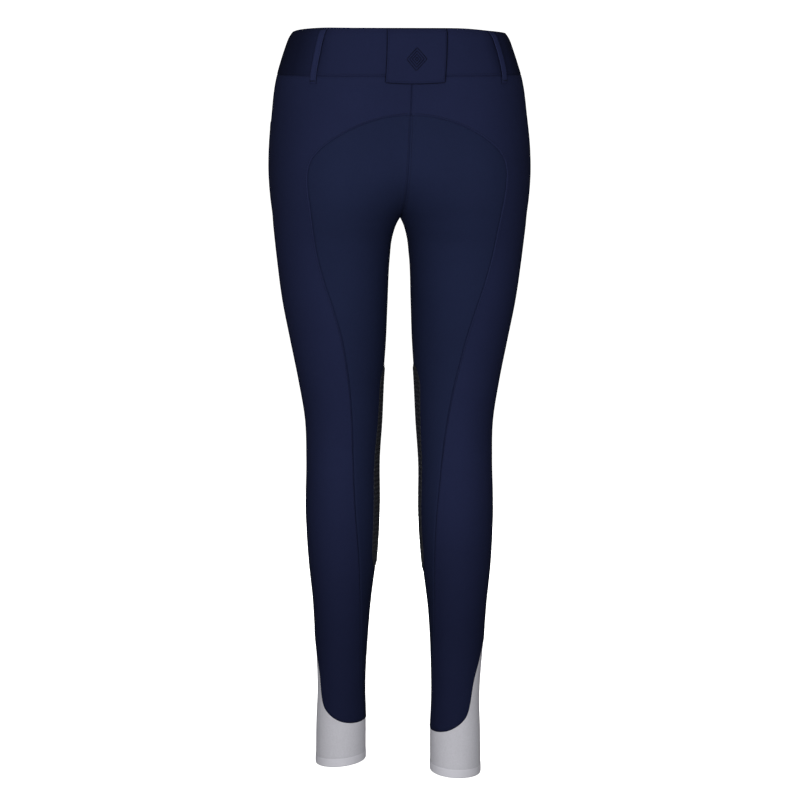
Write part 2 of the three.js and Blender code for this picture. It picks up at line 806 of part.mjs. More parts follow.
const backBand = waistband(SIDE_SEAM_AROUND - 0.0004, -SIDE_SEAM_AROUND + 0.0004, 26);
addMesh(breeches, 'waistband_back', backBand, BAND_NAVY);
const leftBand = waistband(SIDE_SEAM_AROUND + 0.0004, 0.9985, 12);
addMesh(breeches, 'waistband_front_left', leftBand, BAND_NAVY);
const rightBand = waistband(-SIDE_SEAM_AROUND - 0.0004, -TAB_AROUND, 20, tabLift, TAB_ROUND);
addMesh(breeches, 'waistband_front_right', rightBand, BAND_NAVY);

[['left', 1], ['right', -1]].forEach(([name, side]) => {
  const front = legPanel(side, FRONT_SIDE, FRONT_CENTRE, FRONT_SHARES);
  addMesh(breeches, `front_leg_${name}`, front, NAVY);
  addMesh(breeches, `pocket_facing_${name}`, pocketFacing(side), NAVY);
  const back = legPanel(side, SIDE, BACK_CENTRE, BACK_SHARES);
  addMesh(breeches, `back_leg_${name}`, back, NAVY);
  const seat = legPanel(side, ARCH, SEAT_CENTRE, SEAT_SHARES, true);
  addMesh(breeches, `seat_leg_${name}`, seat, NAVY);
  addMesh(breeches, `knee_grip_${name}`, kneeGrip(side), GRIP_GREY, 0.6);
  addMesh(breeches, `cuff_${name}`, cuff(side), CUFF_GREY);
  addMesh(breeches, `back_loop_${name}`, narrowLoop(side * BACK_LOOP_AROUND), BAND_NAVY);
  addMesh(breeches, `front_loop_${name}`, narrowLoop(side * FRONT_LOOP_AROUND), BAND_NAVY);
});

addMesh(breeches, 'centre_back_loop', wideLoop(), BAND_NAVY);
addMesh(breeches, 'fly_front', flyFront(), NAVY);

const button = addMesh(breeches, 'waist_button', waistButton(), METAL_GREY, 0.4, 0.9);
const buttonDown = (waistTop(1) + WAIST_SEAM) / 2;
const buttonSeat = TAB_LIFT + LAYER_GAP;
const buttonFoot = waistPoint(-BUTTON_AROUND, buttonDown, buttonSeat);
const buttonHead = waistPoint(-BUTTON_AROUND, buttonDown, buttonSeat + 1);
button.position.copy(buttonFoot);
const buttonAxis = buttonHead.sub(buttonFoot).normalize();
button.quaternion.setFromUnitVectors(new THREE.Vector3(0, 1, 0), buttonAxis);

export default breeches;
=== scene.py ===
import math

import bpy
import numpy as np
from bpy.props import FloatProperty, FloatVectorProperty, IntProperty, PointerProperty
from mathutils import Matrix, Vector


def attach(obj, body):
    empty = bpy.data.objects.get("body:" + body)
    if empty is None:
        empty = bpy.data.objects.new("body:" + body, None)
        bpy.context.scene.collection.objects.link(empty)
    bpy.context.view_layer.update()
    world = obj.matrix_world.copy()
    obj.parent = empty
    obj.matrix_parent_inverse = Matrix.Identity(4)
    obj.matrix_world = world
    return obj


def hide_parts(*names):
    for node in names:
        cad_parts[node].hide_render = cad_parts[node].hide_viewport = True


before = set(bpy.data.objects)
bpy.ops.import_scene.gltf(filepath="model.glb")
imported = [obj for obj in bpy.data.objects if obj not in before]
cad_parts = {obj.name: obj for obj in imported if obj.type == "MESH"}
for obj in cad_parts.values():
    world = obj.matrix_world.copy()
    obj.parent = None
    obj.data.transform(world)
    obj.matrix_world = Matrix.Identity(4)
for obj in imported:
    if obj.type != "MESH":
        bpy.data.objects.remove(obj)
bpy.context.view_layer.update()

bl_info = {
    "name": "Riding Breeches",
    "version": (1, 0, 0),
    "blender": (4, 5, 0),
    "location": "View3D > Sidebar > Breeches",
    "description": "Dresses the full-seat riding breeches and sets their studio",
    "category": "Add Mesh",
}

# Places on the cloth are given in millimetres and degrees, as a cutter gives them:
# "down" is the distance below the waist, and "angle" goes round a leg from its outer
# side at 0 over the back at 90 to the inner side at 180. Meshes are made in metres.
MM = 0.001

# Levels and seams
WAIST_SEAM = 52.0
CROTCH = 236.0
LEG_END = 911.0
HEM = 973.0
WARP_START = 700.0
HALF_SEAM = 0.15
SIDE_SEAM = -4.0
SIDE_SEAM_AROUND = 0.525
FRONT_FORK_TOP = 120.0
BACK_FORK_TOP = 140.0
VALLEY_WIDTH = 14.0
VALLEY_RISE = 70.0

# Cloth walls
CLOTH = 1.5
BAND_WALL = 2.4
CUFF_WALL = 1.2
LOOP_WALL = 1.6

# Pocket, fly and waistband tab
POCKET_MOUTH_ANGLE = -48.0
POCKET_SLANT_POWER = 1.25
FACING_DEPTH = 2.4
FLY_LEFT_X = 4.0
FLY_RIGHT_X = -36.0
FLY_STRAIGHT_END = 150.0
FLY_END = 184.0
FLY_GAP = 0.5
TAB_AROUND = 1.085
TAB_LIFT = 2.7
TAB_RAMP_START = 0.9
TAB_RAMP_END = 0.975
TAB_ROUND = 0.01
BUTTON_AROUND = 1.05

# Belt loops
LOOP_WIDTH = 9.0
LOOP_BOW = 4.0
LOOP_END = 62.0
BACK_LOOP_AROUND = 0.266
FRONT_LOOP_AROUND = 0.78
LOOP_TOP_INSET = 0.8
WIDE_LOOP_END = 60.5
WIDE_LOOP_SAG = 1.6
WIDE_LOOP_BOW = 2.2
WIDE_LOOP_TOP_X = (30.0, -46.5)
WIDE_LOOP_END_X = (34.5, -41.8)

# Cuffs
HEM_FOLD = 11.0
HEM_FOLD_RISE = 0.5
HEM_INNER_RISE = 5.0
CUFF_SINK = 0.5

# Knee grips
GRIP_TOP = 433.0
GRIP_BOTTOM = 703.0
GRIP_ANGLE = 180.0
GRIP_HALF_ANGLE = 26.0
GRIP_CORNER = 26.0

# The photograph's camera: its distance and turn from the centre back, its pitch and lens
CAMERA_DISTANCE = 3.5
CAMERA_TURN = math.radians(9.0)
CAMERA_PITCH = math.radians(7.81)
CAMERA_LENS = 120.0
CAMERA_AIM = 1.1 / 2667


class SplineTable:
    """A smooth curve through rows, keyed by each row's first number."""

    def __init__(self, columns, rows):
        table = np.array(rows, float)
        self.keys = table[:, 0]
        self.columns = {name: table[:, i + 1] for i, name in enumerate(columns)}
        spans = np.diff(self.keys)
        self.tangents = {}
        for name, values in self.columns.items():
            slopes = np.diff(values) / spans
            tangent = np.empty_like(values)
            tangent[0] = slopes[0]
            tangent[-1] = slopes[-1]
            weighted = slopes[:-1] * spans[1:] + slopes[1:] * spans[:-1]
            tangent[1:-1] = weighted / (spans[:-1] + spans[1:])
            self.tangents[name] = tangent

    def __call__(self, key, name):
        x = np.clip(np.asarray(key, float), self.keys[0], self.keys[-1])
        last = len(self.keys) - 2
        i = np.clip(np.searchsorted(self.keys, x, side="right") - 1, 0, last)
        span = self.keys[i + 1] - self.keys[i]
        t = (x - self.keys[i]) / span
        values = self.columns[name]
        tangents = self.tangents[name]
        start_weight = 2 * t**3 - 3 * t**2 + 1
        leave = (t**3 - 2 * t**2 + t) * span * tangents[i]
        arrive = (t**3 - t**2) * span * tangents[i + 1]
        return start_weight * values[i] + (1 - start_weight) * values[i + 1] + leave + arrive


# Sections, one row for each level. outer and inner are half widths from the middle
# plane; front and back are depths at the fullest points, which lie frontX and backX out;
# sideY and innerY are the depths of the outer and inner sides; dip is how far the centre
# back lies inside the fullest back.
SECTION_COLUMNS = (
    "outer", "sideY", "front", "frontX", "back", "backX", "inner", "innerY", "dip",
)
SECTIONS = SplineTable(SECTION_COLUMNS, (
    (-30, 132.0, 2, -92, 30, 93, 30, 0, 12, 0),
    (0, 142.5, 2, -98, 32, 99, 34, 0, 12, 0.5),
    (30, 153.0, 2, -104, 36, 106, 40, 0, 12, 1),
    (56, 160.5, 3, -109, 40, 112, 48, 0, 12, 1.5),
    (106, 167.0, 5, -113, 50, 124, 60, 0, 12, 4),
    (147, 170.5, 8, -111, 60, 133, 70, 0, 12, 6),
    (180, 171.0, 10, -106, 68, 134, 77, 0, 12, 5),
    (210, 169.0, 11, -100, 76, 128, 83, -18, 12, 4),
    (236, 166.0, 12, -95, 81, 117, 86, 0, 12, 1),
    (245, 165.4, 11.5, -94, 82, 113, 86, 4.6, 11.5, 0),
    (262, 163.8, 10, -91, 84, 105, 87, 9.8, 10, 0),
    (290, 160.8, 8, -88, 86, 96, 87, 13, 8, 0),
    (347, 153.5, 3, -84, 84, 86, 84, 15.4, 3, 0),
    (400, 143.3, 0, -78, 80, 77, 80, 17.2, 0, 0),
    (453, 133.0, -3, -72, 77, 68, 77, 20.5, -3, 0),
    (507, 124.8, -4, -66, 74, 61, 74, 23.0, -3, 0),
    (561, 123.9, -2, -59, 75, 60, 76, 27.0, 0, 0),
    (628, 125.5, 6, -50, 76, 67, 77, 27.5, 8, 0),
    (696, 122.3, 9, -42, 77, 63, 77, 31.9, 9, 0),
    (750, 117.1, 9, -35, 78, 56, 78, 38.8, 9, 0),
    (800, 114.3, 12, -28, 79, 52, 79, 43.1, 12, 0),
    (875, 111.3, 17, -20, 79, 53, 79, 46.7, 17, 0),
    (915, 112.8, 19, -19, 79, 57, 79, 45.5, 19, 0),
    (975, 113.6, 20, -22, 79, 63, 79, 45.9, 20, 0),
))

# Pose, one row for each level: turn in degrees, sway to the wearer's left, and stride,
# by which the left leg comes forward and the right one goes back.
POSE = SplineTable(("turn", "sway", "stride"), (
    (-30, 0, 0, 0),
    (56, -0.3, 0, 0),
    (106, -1.8, 0, 0),
    (165, -3.4, 0, 0),
    (236, -4, 0, 0),
    (420, -4.5, 0, 3),
    (475, -6.8, 0, 4.5),
    (560, -11.4, 0, 7),
    (620, -13.3, -0.5, 9),
    (700, -13.3, -1, 11),
    (780, -14, -1, 12.2),
    (850, -16.6, -1, 13.2),
    (975, -17.1, -1, 15),
))

# Top edge of the waistband on either side: 0 is the centre back and 1 the centre front.
WAIST_TOP = SplineTable(("left", "right"), (
    (0, -8.8, -8.8),
    (0.14, -9.2, -8.4),
    (0.28, -9.5, -5.4),
    (0.4, -7.4, -3),
    (0.5, -4.6, -1),
    (0.7, -0.5, 2.3),
    (1.1, 9, 9),
))

# Seam between the front leg and the seat piece, from the crotch to the cuff.
FRONT_INNER_SEAM = SplineTable(("angle",), (
    (236, 180),
    (262, 186),
    (300, 196),
    (360, 207),
    (450, 214),
    (560, 214),
    (700, 208),
    (911, 200),
))

# Top edge of the cuff, by the angle from the outer side: a notch rises up the calf.
CUFF_EDGE = SplineTable(("down",), (
    (0, 790),
    (8, 798),
    (18, 812),
    (26, 825),
    (31.5, 835),
    (35.5, 843),
    (39.5, 854),
    (42, 866),
    (45.5, 877),
    (50, 885.5),
    (55, 891),
    (68, 899),
    (86, 906),
    (105, 910.4),
    (120, 912),
    (180, 912),
))

# The arched seat seam, from the centre back over the seat and down the leg; x is its
# distance from the middle plane.
ARCH_SHOULDER_DOWN = 216.0
MM_PER_DEGREE = 1.9
ARCH_ROWS = (
    (HALF_SEAM, 100.6),
    (30, 103.7),
    (54, 109.9),
    (74, 117.9),
    (90, 126.6),
    (105, 136.8),
    (116, 147),
    (123, 157.5),
    (126.7, 170.5),
    (127, 185),
    (125.5, 201.5),
    (123.3, ARCH_SHOULDER_DOWN),
    (119.6, 240),
    (113, 280),
    (103, 318),
    (91, 354),
    (80.5, 389),
    (72.5, 425),
    (66.8, 455),
    (61.5, 497),
    (58, 540),
    (55.5, 585),
    (52.3, 635),
    (50, 680),
    (49.2, 740),
    (49.6, 800),
    (49.4, 860),
    (47.6, LEG_END),
)

# Soft creases, each a trough: its middle, its half length and lean from level, and its
# width and depth. The left and right legs have different ones.
CREASE_COLUMNS = ("side", "angle", "down", "half", "lean", "width", "depth")
CREASES = (
    (1, 96, 540, 40, 8, 9, 0.9),
    (1, 84, 561, 30, -6, 8, 0.7),
    (1, 104, 580, 34, 14, 7, 0.6),
    (-1, 92, 548, 38, -9, 9, 0.9),
    (-1, 106, 569, 28, 6, 7, 0.6),
    (-1, 83, 590, 26, -14, 8, 0.5),
    (1, 128, 262, 34, 24, 9, 1.0),
    (-1, 124, 268, 38, 20, 10, 1.0),
    (1, -122, 232, 40, 34, 8, 1.1),
    (1, -112, 262, 30, 22, 9, 0.8),
    (-1, -118, 238, 42, 30, 8, 1.1),
    (-1, -108, 270, 26, 26, 8, 0.7),
    (1, -80, 548, 26, 6, 9, 0.6),
    (-1, -84, 556, 28, -8, 9, 0.6),
    (1, 70, 868, 24, 10, 6, 0.6),
    (-1, 66, 860, 22, -12, 6, 0.6),
    (-1, -60, 880, 24, 9, 6, 0.6),
    (1, -66, 872, 26, -9, 6, 0.6),
)


def lerp(start, end, share):
    return start + (end - start) * share


def smoothstep(x, low, high):
    t = np.clip((x - low) / (high - low), 0, 1)
    return t * t * (3 - 2 * t)


def joined_share(down, fork_top):
    """How much of the trunk's depth the two halves share at a level."""
    share = np.clip((down - fork_top) / (CROTCH - fork_top), 0, 1)
    return np.sqrt(1 - share * share)


def section_at(down):
    """The left half's section, with the half axes of its inner quarters."""
    section = {name: SECTIONS(down, name) for name in SECTION_COLUMNS}
    above = down < CROTCH
    inner = np.maximum(section["inner"], HALF_SEAM)
    back_depth = section["back"] - section["innerY"]
    front_joined = np.minimum(joined_share(down, FRONT_FORK_TOP), 0.9995)
    back_joined = joined_share(down, BACK_FORK_TOP) * (1 - section["dip"] / back_depth)
    back_joined = np.minimum(back_joined, 0.9995)
    front_above = section["frontX"] / np.sqrt(1 - front_joined**2)
    back_above = section["backX"] / np.sqrt(1 - back_joined**2)
    section["front_axis"] = np.where(above, front_above, section["frontX"] - inner)
    section["back_axis"] = np.where(above, back_above, section["backX"] - inner)
    return section


def turn_at(x, centre_x, inner_axis, outer):
    """The turn from the inner side at which a face reaches x from the middle plane."""
    axis = np.where(x > centre_x, outer - centre_x, inner_axis)
    return np.degrees(np.arccos(np.clip((centre_x - x) / axis, -1, 1)))


def front_angle_at(x, down):
    section = section_at(down)
    return turn_at(x, section["frontX"], section["front_axis"], section["outer"]) - 180


def back_angle_at(x, down):
    section = section_at(down)
    return 180 - turn_at(x, section["backX"], section["back_axis"], section["outer"])


def face_point(angle, down):
    """The cloth's outer face on the left half, before the pose."""
    section = section_at(down)
    radians = np.radians(angle)
    cosine = np.cos(radians)
    sine = np.sin(radians)
    is_front = sine < 0
    is_inner = cosine < 0
    centre_x = np.where(is_front, section["frontX"], section["backX"])
    inner_axis = np.where(is_front, section["front_axis"], section["back_axis"])
    centre_y = np.where(is_inner, section["innerY"], section["sideY"])
    axis_x = np.where(is_inner, inner_axis, section["outer"] - centre_x)
    axis_y = np.where(is_front, centre_y - section["front"], section["back"] - centre_y)
    x = centre_x + axis_x * cosine
    y = centre_y + axis_y * sine
    rise = smoothstep(CROTCH - down, 0, VALLEY_RISE)
    soft_x = np.hypot(x, VALLEY_WIDTH * rise)
    soft_cosine = np.clip((centre_x - soft_x) / inner_axis, -1, 1)
    soft_sine = np.sqrt(1 - soft_cosine**2) * np.where(is_front, -1, 1)
    is_soft = is_inner & (down < CROTCH) & (soft_x < centre_x)
    return x, np.where(is_soft, centre_y + axis_y * soft_sine, y)


def posed_point(angle, down, side):
    """The outer face on either half, in the pose."""
    angle, down, side = np.broadcast_arrays(
        np.asarray(angle, float), np.asarray(down, float), np.asarray(side, float)
    )
    x, y = face_point(angle, down)
    x = side * x + POSE(down, "sway")
    y = y - side * POSE(down, "stride")
    turn = np.radians(POSE(down, "turn"))
    cosine = np.cos(turn)
    sine = np.sin(turn)
    return np.stack((x * cosine - y * sine, x * sine + y * cosine, -down), -1)


ANGLE_STEP = 0.5
DOWN_STEP = 1.0


def tangents_at(angle, down, side):
    """The face's tangents: round the leg per degree, and down it per millimetre."""
    ahead = posed_point(angle + ANGLE_STEP, down, side)
    behind = posed_point(angle - ANGLE_STEP, down, side)
    below = posed_point(angle, down + DOWN_STEP, side)
    above = posed_point(angle, down - DOWN_STEP, side)
    return (ahead - behind) / (2 * ANGLE_STEP), (below - above) / (2 * DOWN_STEP)


def face_normal(angle, down, side):
    angle, down, side = np.broadcast_arrays(
        np.asarray(angle, float), np.asarray(down, float), np.asarray(side, float)
    )
    around, along = tangents_at(angle, down, side)
    normal = np.cross(along, around) * side[..., None]
    return normal / np.linalg.norm(normal, axis=-1, keepdims=True)


def cloth_point(angle, down, side, out):
    """A point moved out from the face along its normal."""
    normal = face_normal(angle, down, side)
    return posed_point(angle, down, side) + normal * np.asarray(out, float)[..., None]


def cuff_edge(angle):
    """The level of the cuff's top edge at an angle."""
    wrapped = np.abs(np.mod(angle + 180, 360) - 180)
    return CUFF_EDGE(wrapped, "down")


def warped(angle, down):
    """Leg panels are laid out to a straight end, then drawn up to the cuff's edge."""
    share = (down - WARP_START) / (LEG_END - WARP_START)
    drawn = lerp(WARP_START, cuff_edge(angle), share)
    return np.where(down <= WARP_START, down, drawn)


def waist_place(around, down):
    """The angle and side at a place round the waist: 0 centre back, 1 centre front."""
    around, down = np.broadcast_arrays(np.asarray(around, float), np.asarray(down, float))
    wrapped = np.where(np.abs(around) > 1, around - 2 * np.sign(around), around)
    side = np.where(wrapped < 0, -1.0, 1.0)
    angle = lerp(back_angle_at(0, down), front_angle_at(0, down), np.abs(wrapped))
    return angle, down, side


def waist_point(around, down, out):
    return cloth_point(*waist_place(around, down), out)


def waist_top(around):
    around = np.asarray(around, float)
    left = WAIST_TOP(np.abs(around), "left")
    return np.where(around < 0, WAIST_TOP(np.abs(around), "right"), left)


def x_point(x, down, out, on_back):
    """A point at x from the middle plane, on the trunk's back or front."""
    angle_at = back_angle_at if on_back else front_angle_at
    side = np.where(np.asarray(x) < 0, -1.0, 1.0)
    return cloth_point(angle_at(np.abs(x), down), down, side, out)


# Seam paths, finely sampled

DOME_STEPS = 44
LEG_STEPS = 190
ABOVE_STEPS = 14
LEG_POWER = 1.2
SIDE_DOME_START = 92.0


def shares(count, power=1.0):
    return (np.arange(count + 1) / count) ** power


def crowded(count, weight=0.7):
    """Shares of a width that lie closer together at both ends."""
    even = np.arange(count + 1) / count
    return weight * (0.5 - 0.5 * np.cos(math.pi * even)) + (1 - weight) * even


def arch_path():
    rows = np.array(ARCH_ROWS, float)
    moves = np.diff(rows, axis=0)
    keys = np.concatenate(((0,), np.cumsum(np.hypot(moves[:, 0], moves[:, 1]))))
    curve = SplineTable(("x", "down"), np.column_stack((keys, rows)))
    shoulder = keys[list(rows[:, 1]).index(ARCH_SHOULDER_DOWN)]
    dome = shoulder * shares(DOME_STEPS)
    leg = lerp(shoulder, keys[-1], shares(LEG_STEPS, LEG_POWER)[1:])
    along = np.concatenate((dome, leg))
    down = curve(along, "down")
    return np.column_stack((back_angle_at(curve(along, "x"), down), down))


def path_of(angles, downs):
    return np.column_stack(np.broadcast_arrays(angles, downs))


LEG_SHARES = shares(LEG_STEPS, LEG_POWER)[1:]
DOME_SHARES = shares(DOME_STEPS)
ABOVE_SHARES = shares(ABOVE_STEPS)
ARCH = arch_path()

seat_dome = lerp(ARCH[0, 1], CROTCH, DOME_SHARES)
seat_leg = lerp(CROTCH, LEG_END, LEG_SHARES)
FRONT_INNER = path_of(FRONT_INNER_SEAM(seat_leg, "angle"), seat_leg)
SEAT_CENTRE = np.vstack((path_of(back_angle_at(0, seat_dome), seat_dome), FRONT_INNER))

side_levels = np.concatenate((
    lerp(WAIST_SEAM, SIDE_DOME_START, ABOVE_SHARES),
    lerp(SIDE_DOME_START, ARCH_SHOULDER_DOWN, DOME_SHARES)[1:],
    lerp(ARCH_SHOULDER_DOWN, LEG_END, LEG_SHARES),
))
SIDE = path_of(SIDE_SEAM, side_levels)
above_arch = lerp(WAIST_SEAM, ARCH[0, 1], ABOVE_SHARES)[:-1]
BACK_CENTRE = np.vstack((path_of(back_angle_at(0, above_arch), above_arch), ARCH))
front_levels = lerp(WAIST_SEAM, CROTCH, shares(ABOVE_STEPS + DOME_STEPS))
FRONT_CENTRE = np.vstack((
    path_of(front_angle_at(0, front_levels), front_levels),
    FRONT_INNER - (360, 0),
))
POCKET_END = SIDE_DOME_START + (ARCH_SHOULDER_DOWN - SIDE_DOME_START) * 0.2


def pocket_mouth(down):
    share = np.clip((down - WAIST_SEAM) / (POCKET_END - WAIST_SEAM), 0, 1)
    return lerp(POCKET_MOUTH_ANGLE, SIDE_SEAM, share**POCKET_SLANT_POWER)


FRONT_SIDE = path_of(pocket_mouth(side_levels), side_levels)


# Meshes

def grid_shell(name, face, lining, cloth_uv, is_ring=False):
    """A thin closed shell over two grids of points in millimetres, rows by columns."""
    rows, columns = face.shape[:2]
    points = np.concatenate((face.reshape(-1, 3), lining.reshape(-1, 3))) * MM
    index = np.arange(rows * columns).reshape(rows, columns)
    if is_ring:
        index = np.concatenate((index, index[:, :1]), axis=1)
    inside = index + rows * columns

    def quads(a, b, c, d):
        return np.stack((a.ravel(), b.ravel(), c.ravel(), d.ravel()), -1)

    faces = [
        quads(index[:-1, :-1], index[1:, :-1], index[1:, 1:], index[:-1, 1:]),
        quads(inside[:-1, :-1], inside[:-1, 1:], inside[1:, 1:], inside[1:, :-1]),
        quads(index[0, :-1], index[0, 1:], inside[0, 1:], inside[0, :-1]),
        quads(index[-1, 1:], index[-1, :-1], inside[-1, :-1], inside[-1, 1:]),
    ]
    if not is_ring:
        faces.append(quads(index[1:, 0], index[:-1, 0], inside[:-1, 0], inside[1:, 0]))
        faces.append(quads(index[:-1, -1], index[1:, -1], inside[1:, -1], inside[:-1, -1]))
    uv = np.concatenate((cloth_uv.reshape(-1, 2), cloth_uv.reshape(-1, 2)))
    return mesh_object(name, points, np.concatenate(faces), uv)


def mesh_object(name, points, faces, uv=None):
    """A smooth mesh object whose faces point outwards, with the cloth's own UV map."""
    mesh = bpy.data.meshes.new(name)
    mesh.from_pydata(points.tolist(), [], faces.tolist())
    mesh.validate()
    if uv is not None:
        layer = mesh.uv_layers.new(name="cloth")
        corners = np.empty(len(mesh.loops), dtype=np.int32)
        mesh.loops.foreach_get("vertex_index", corners)
        layer.data.foreach_set("uv", (uv[corners] * MM).astype(np.float32).ravel())
    mesh.polygons.foreach_set("use_smooth", [True] * len(mesh.polygons))
    piece = bpy.data.objects.new(name, mesh)
    bpy.context.scene.collection.objects.link(piece)
    turn_outwards(mesh)
    return piece


def turn_outwards(mesh):
    """Turns every face over where the mesh's volume comes out negative."""
    mesh.calc_loop_triangles()
    points = np.empty(len(mesh.vertices) * 3)
    mesh.vertices.foreach_get("co", points)
    points = points.reshape(-1, 3)
    corners = np.empty(len(mesh.loop_triangles) * 3, dtype=np.int32)
    mesh.loop_triangles.foreach_get("vertices", corners)
    a, b, c = points[corners.reshape(-1, 3)].transpose(1, 0, 2)
    if np.einsum("ij,ij->", a, np.cross(b, c)) < 0:
        mesh.flip_normals()
    mesh.update()


def nearest_distance(points, path):
    """Distance in millimetres from each point to the nearest sample of a path."""
    flat = points.reshape(-1, 3)
    nearest = np.empty(len(flat))
    for start in range(0, len(flat), 2000):
        block = flat[start:start + 2000]
        gaps = block[:, None, :] - path[None, :, :]
        nearest[start:start + 2000] = np.sqrt((gaps**2).sum(-1).min(1))
    return nearest.reshape(points.shape[:-1])


def even_line(points, pitch):
    """Resamples a line of points at an even pitch."""
    steps = np.linalg.norm(np.diff(points, axis=0), axis=1)
    along = np.concatenate(((0,), np.cumsum(steps)))
    count = max(int(along[-1] / pitch), 2)
    wanted = np.linspace(0, along[-1], count + 1)
    return np.column_stack([np.interp(wanted, along, points[:, i]) for i in range(3)])


def path_points(path, side, out=0.0):
    angle, down = path.T
    return cloth_point(angle, warped(angle, down), side, np.full(len(path), out))


def crease_depth(angle, down, side):
    """How deep the soft creases lie at a place on a leg."""
    depth = np.zeros(np.broadcast(angle, down).shape)
    for row in CREASES:
        crease = dict(zip(CREASE_COLUMNS, row))
        if crease["side"] != side:
            continue
        turn = np.mod(angle - crease["angle"] + 180, 360) - 180
        across = turn * MM_PER_DEGREE * 0.6
        fall = down - crease["down"]
        lean = math.radians(crease["lean"])
        bend = 0.12 * across**2 / crease["half"]
        along = across * math.cos(lean) + fall * math.sin(lean)
        off = fall * math.cos(lean) - across * math.sin(lean) - bend
        length = np.exp(-((along / crease["half"]) ** 2) * 2)
        depth = depth + crease["depth"] * length * np.exp(-((off / crease["width"]) ** 2))
        ridge = np.exp(-(((off - 1.6 * crease["width"]) / crease["width"]) ** 2))
        depth = depth - 0.4 * crease["depth"] * length * ridge
    return depth


SEAM_DIP = 0.7
SEAM_DIP_WIDTH = 0.9
ALLOWANCE_RISE = 0.22
ALLOWANCE_START = 1.2
ALLOWANCE_END = 6.5


def seam_relief(distance, has_allowance):
    """The cloth dips into a seam, and is a little proud over its pressed allowance."""
    dip = -SEAM_DIP * np.exp(-((distance / SEAM_DIP_WIDTH) ** 2))
    if not has_allowance:
        return dip
    start = smoothstep(distance, 0, ALLOWANCE_START)
    end = 1 - smoothstep(distance, ALLOWANCE_END - 1.5, ALLOWANCE_END)
    return dip + ALLOWANCE_RISE * start * end


def leg_panel(name, side, path_a, path_b, columns, seams):
    """A leg panel between two seam paths. seams lists (path, has_allowance)."""
    across = crowded(columns)
    angle = lerp(path_a[:, None, 0], path_b[:, None, 0], across)
    flat_down = lerp(path_a[:, None, 1], path_b[:, None, 1], across)
    down = warped(angle, flat_down)
    face = posed_point(angle, down, side)
    out = -crease_depth(angle, down, side)
    for path, has_allowance in seams:
        line = even_line(path_points(path, side), 1.0)
        out = out + seam_relief(nearest_distance(face, line), has_allowance)
    normal = face_normal(angle, down, side)
    face = face + normal * out[..., None]
    lining = face - normal * CLOTH
    cloth_uv = np.stack((angle * MM_PER_DEGREE, down), -1)
    return grid_shell(name, face, lining, cloth_uv)


# Thread

STITCH_RINGS = ((-1.0, 0.35), (-0.62, 0.95), (0.62, 0.95), (1.0, 0.35))
STITCH_SIDES = 6


def thread_mesh(name, centres, tangents, normals, length, width):
    """Many stitches as one mesh: each a short thread lying along its tangent."""
    sides = np.cross(normals, tangents)
    sides = sides / np.linalg.norm(sides, axis=1, keepdims=True)
    template = []
    for along, radius in STITCH_RINGS:
        for corner in range(STITCH_SIDES):
            turn = 2 * math.pi * corner / STITCH_SIDES
            template.append((along, radius * math.cos(turn), radius * math.sin(turn)))
    template = np.array(template)
    size = np.asarray(length, float).reshape(-1, 1, 1) / 2
    points = centres[:, None, :] + template[None, :, :1] * size * tangents[:, None, :]
    points = points + template[None, :, 1:2] * width / 2 * sides[:, None, :]
    points = points + template[None, :, 2:] * width / 2 * normals[:, None, :]
    faces = []
    last_ring = (len(STITCH_RINGS) - 1) * STITCH_SIDES
    for ring in range(len(STITCH_RINGS) - 1):
        for corner in range(STITCH_SIDES):
            a = ring * STITCH_SIDES + corner
            b = ring * STITCH_SIDES + (corner + 1) % STITCH_SIDES
            faces.append((a, b, b + STITCH_SIDES, a + STITCH_SIDES))
    faces.append((3, 2, 1, 0))
    faces.append((5, 4, 3, 0))
    faces.append((last_ring, last_ring + 1, last_ring + 2, last_ring + 3))
    faces.append((last_ring, last_ring + 3, last_ring + 4, last_ring + 5))
    offsets = np.arange(len(centres)) * len(template)
    all_faces = (np.array(faces)[None] + offsets[:, None, None]).reshape(-1, 4)
    return mesh_object(name, points.reshape(-1, 3) * MM, all_faces)


def stitch_run(points, normals, pitch, length):
    """Centres, tangents and normals of the stitches along a line of points."""
    steps = np.linalg.norm(np.diff(points, axis=0), axis=1)
    along = np.concatenate(((0,), np.cumsum(steps)))
    count = max(int(along[-1] / pitch), 1)
    middles = (np.arange(count) + 0.5) * along[-1] / count

    def sample(values, at):
        return np.column_stack([np.interp(at, along, values[:, i]) for i in range(3)])

    centres = sample(points, middles)
    tangents = sample(points, middles + length / 2) - sample(points, middles - length / 2)
    ups = sample(normals, middles)
    ups = ups / np.linalg.norm(ups, axis=1, keepdims=True)
    lengths = np.linalg.norm(tangents, axis=1, keepdims=True)
    return centres, tangents / np.maximum(lengths, 1e-6), ups


def leg_line(path, side, offset, out):
    """Points and normals along a seam path, moved sideways on the face by offset."""
    angle, down = path.T
    down = warped(angle, down)
    around, along = tangents_at(angle, down, side)
    around_length = np.linalg.norm(around, axis=1)
    along_length = np.linalg.norm(along, axis=1)
    step_x = np.gradient(angle) * around_length
    step_y = np.gradient(down) * along_length
    length = np.hypot(step_x, step_y)
    angle = angle - step_y / length * offset / around_length
    down = down + step_x / length * offset / along_length
    points = cloth_point(angle, down, side, np.full(len(angle), out))
    return points, face_normal(angle, down, side)


def waist_line(around, down, out):
    angle, level, side = waist_place(around, down)
    lift = np.broadcast_to(np.asarray(out, float), angle.shape)
    return cloth_point(angle, level, side, lift), face_normal(angle, level, side)


def x_line(x, down, out, on_back):
    angle_at = back_angle_at if on_back else front_angle_at
    x, down = np.broadcast_arrays(np.asarray(x, float), np.asarray(down, float))
    side = np.where(x < 0, -1.0, 1.0)
    angle = angle_at(np.abs(x), down)
    lift = np.broadcast_to(np.asarray(out, float), angle.shape)
    return cloth_point(angle, down, side, lift), face_normal(angle, down, side)


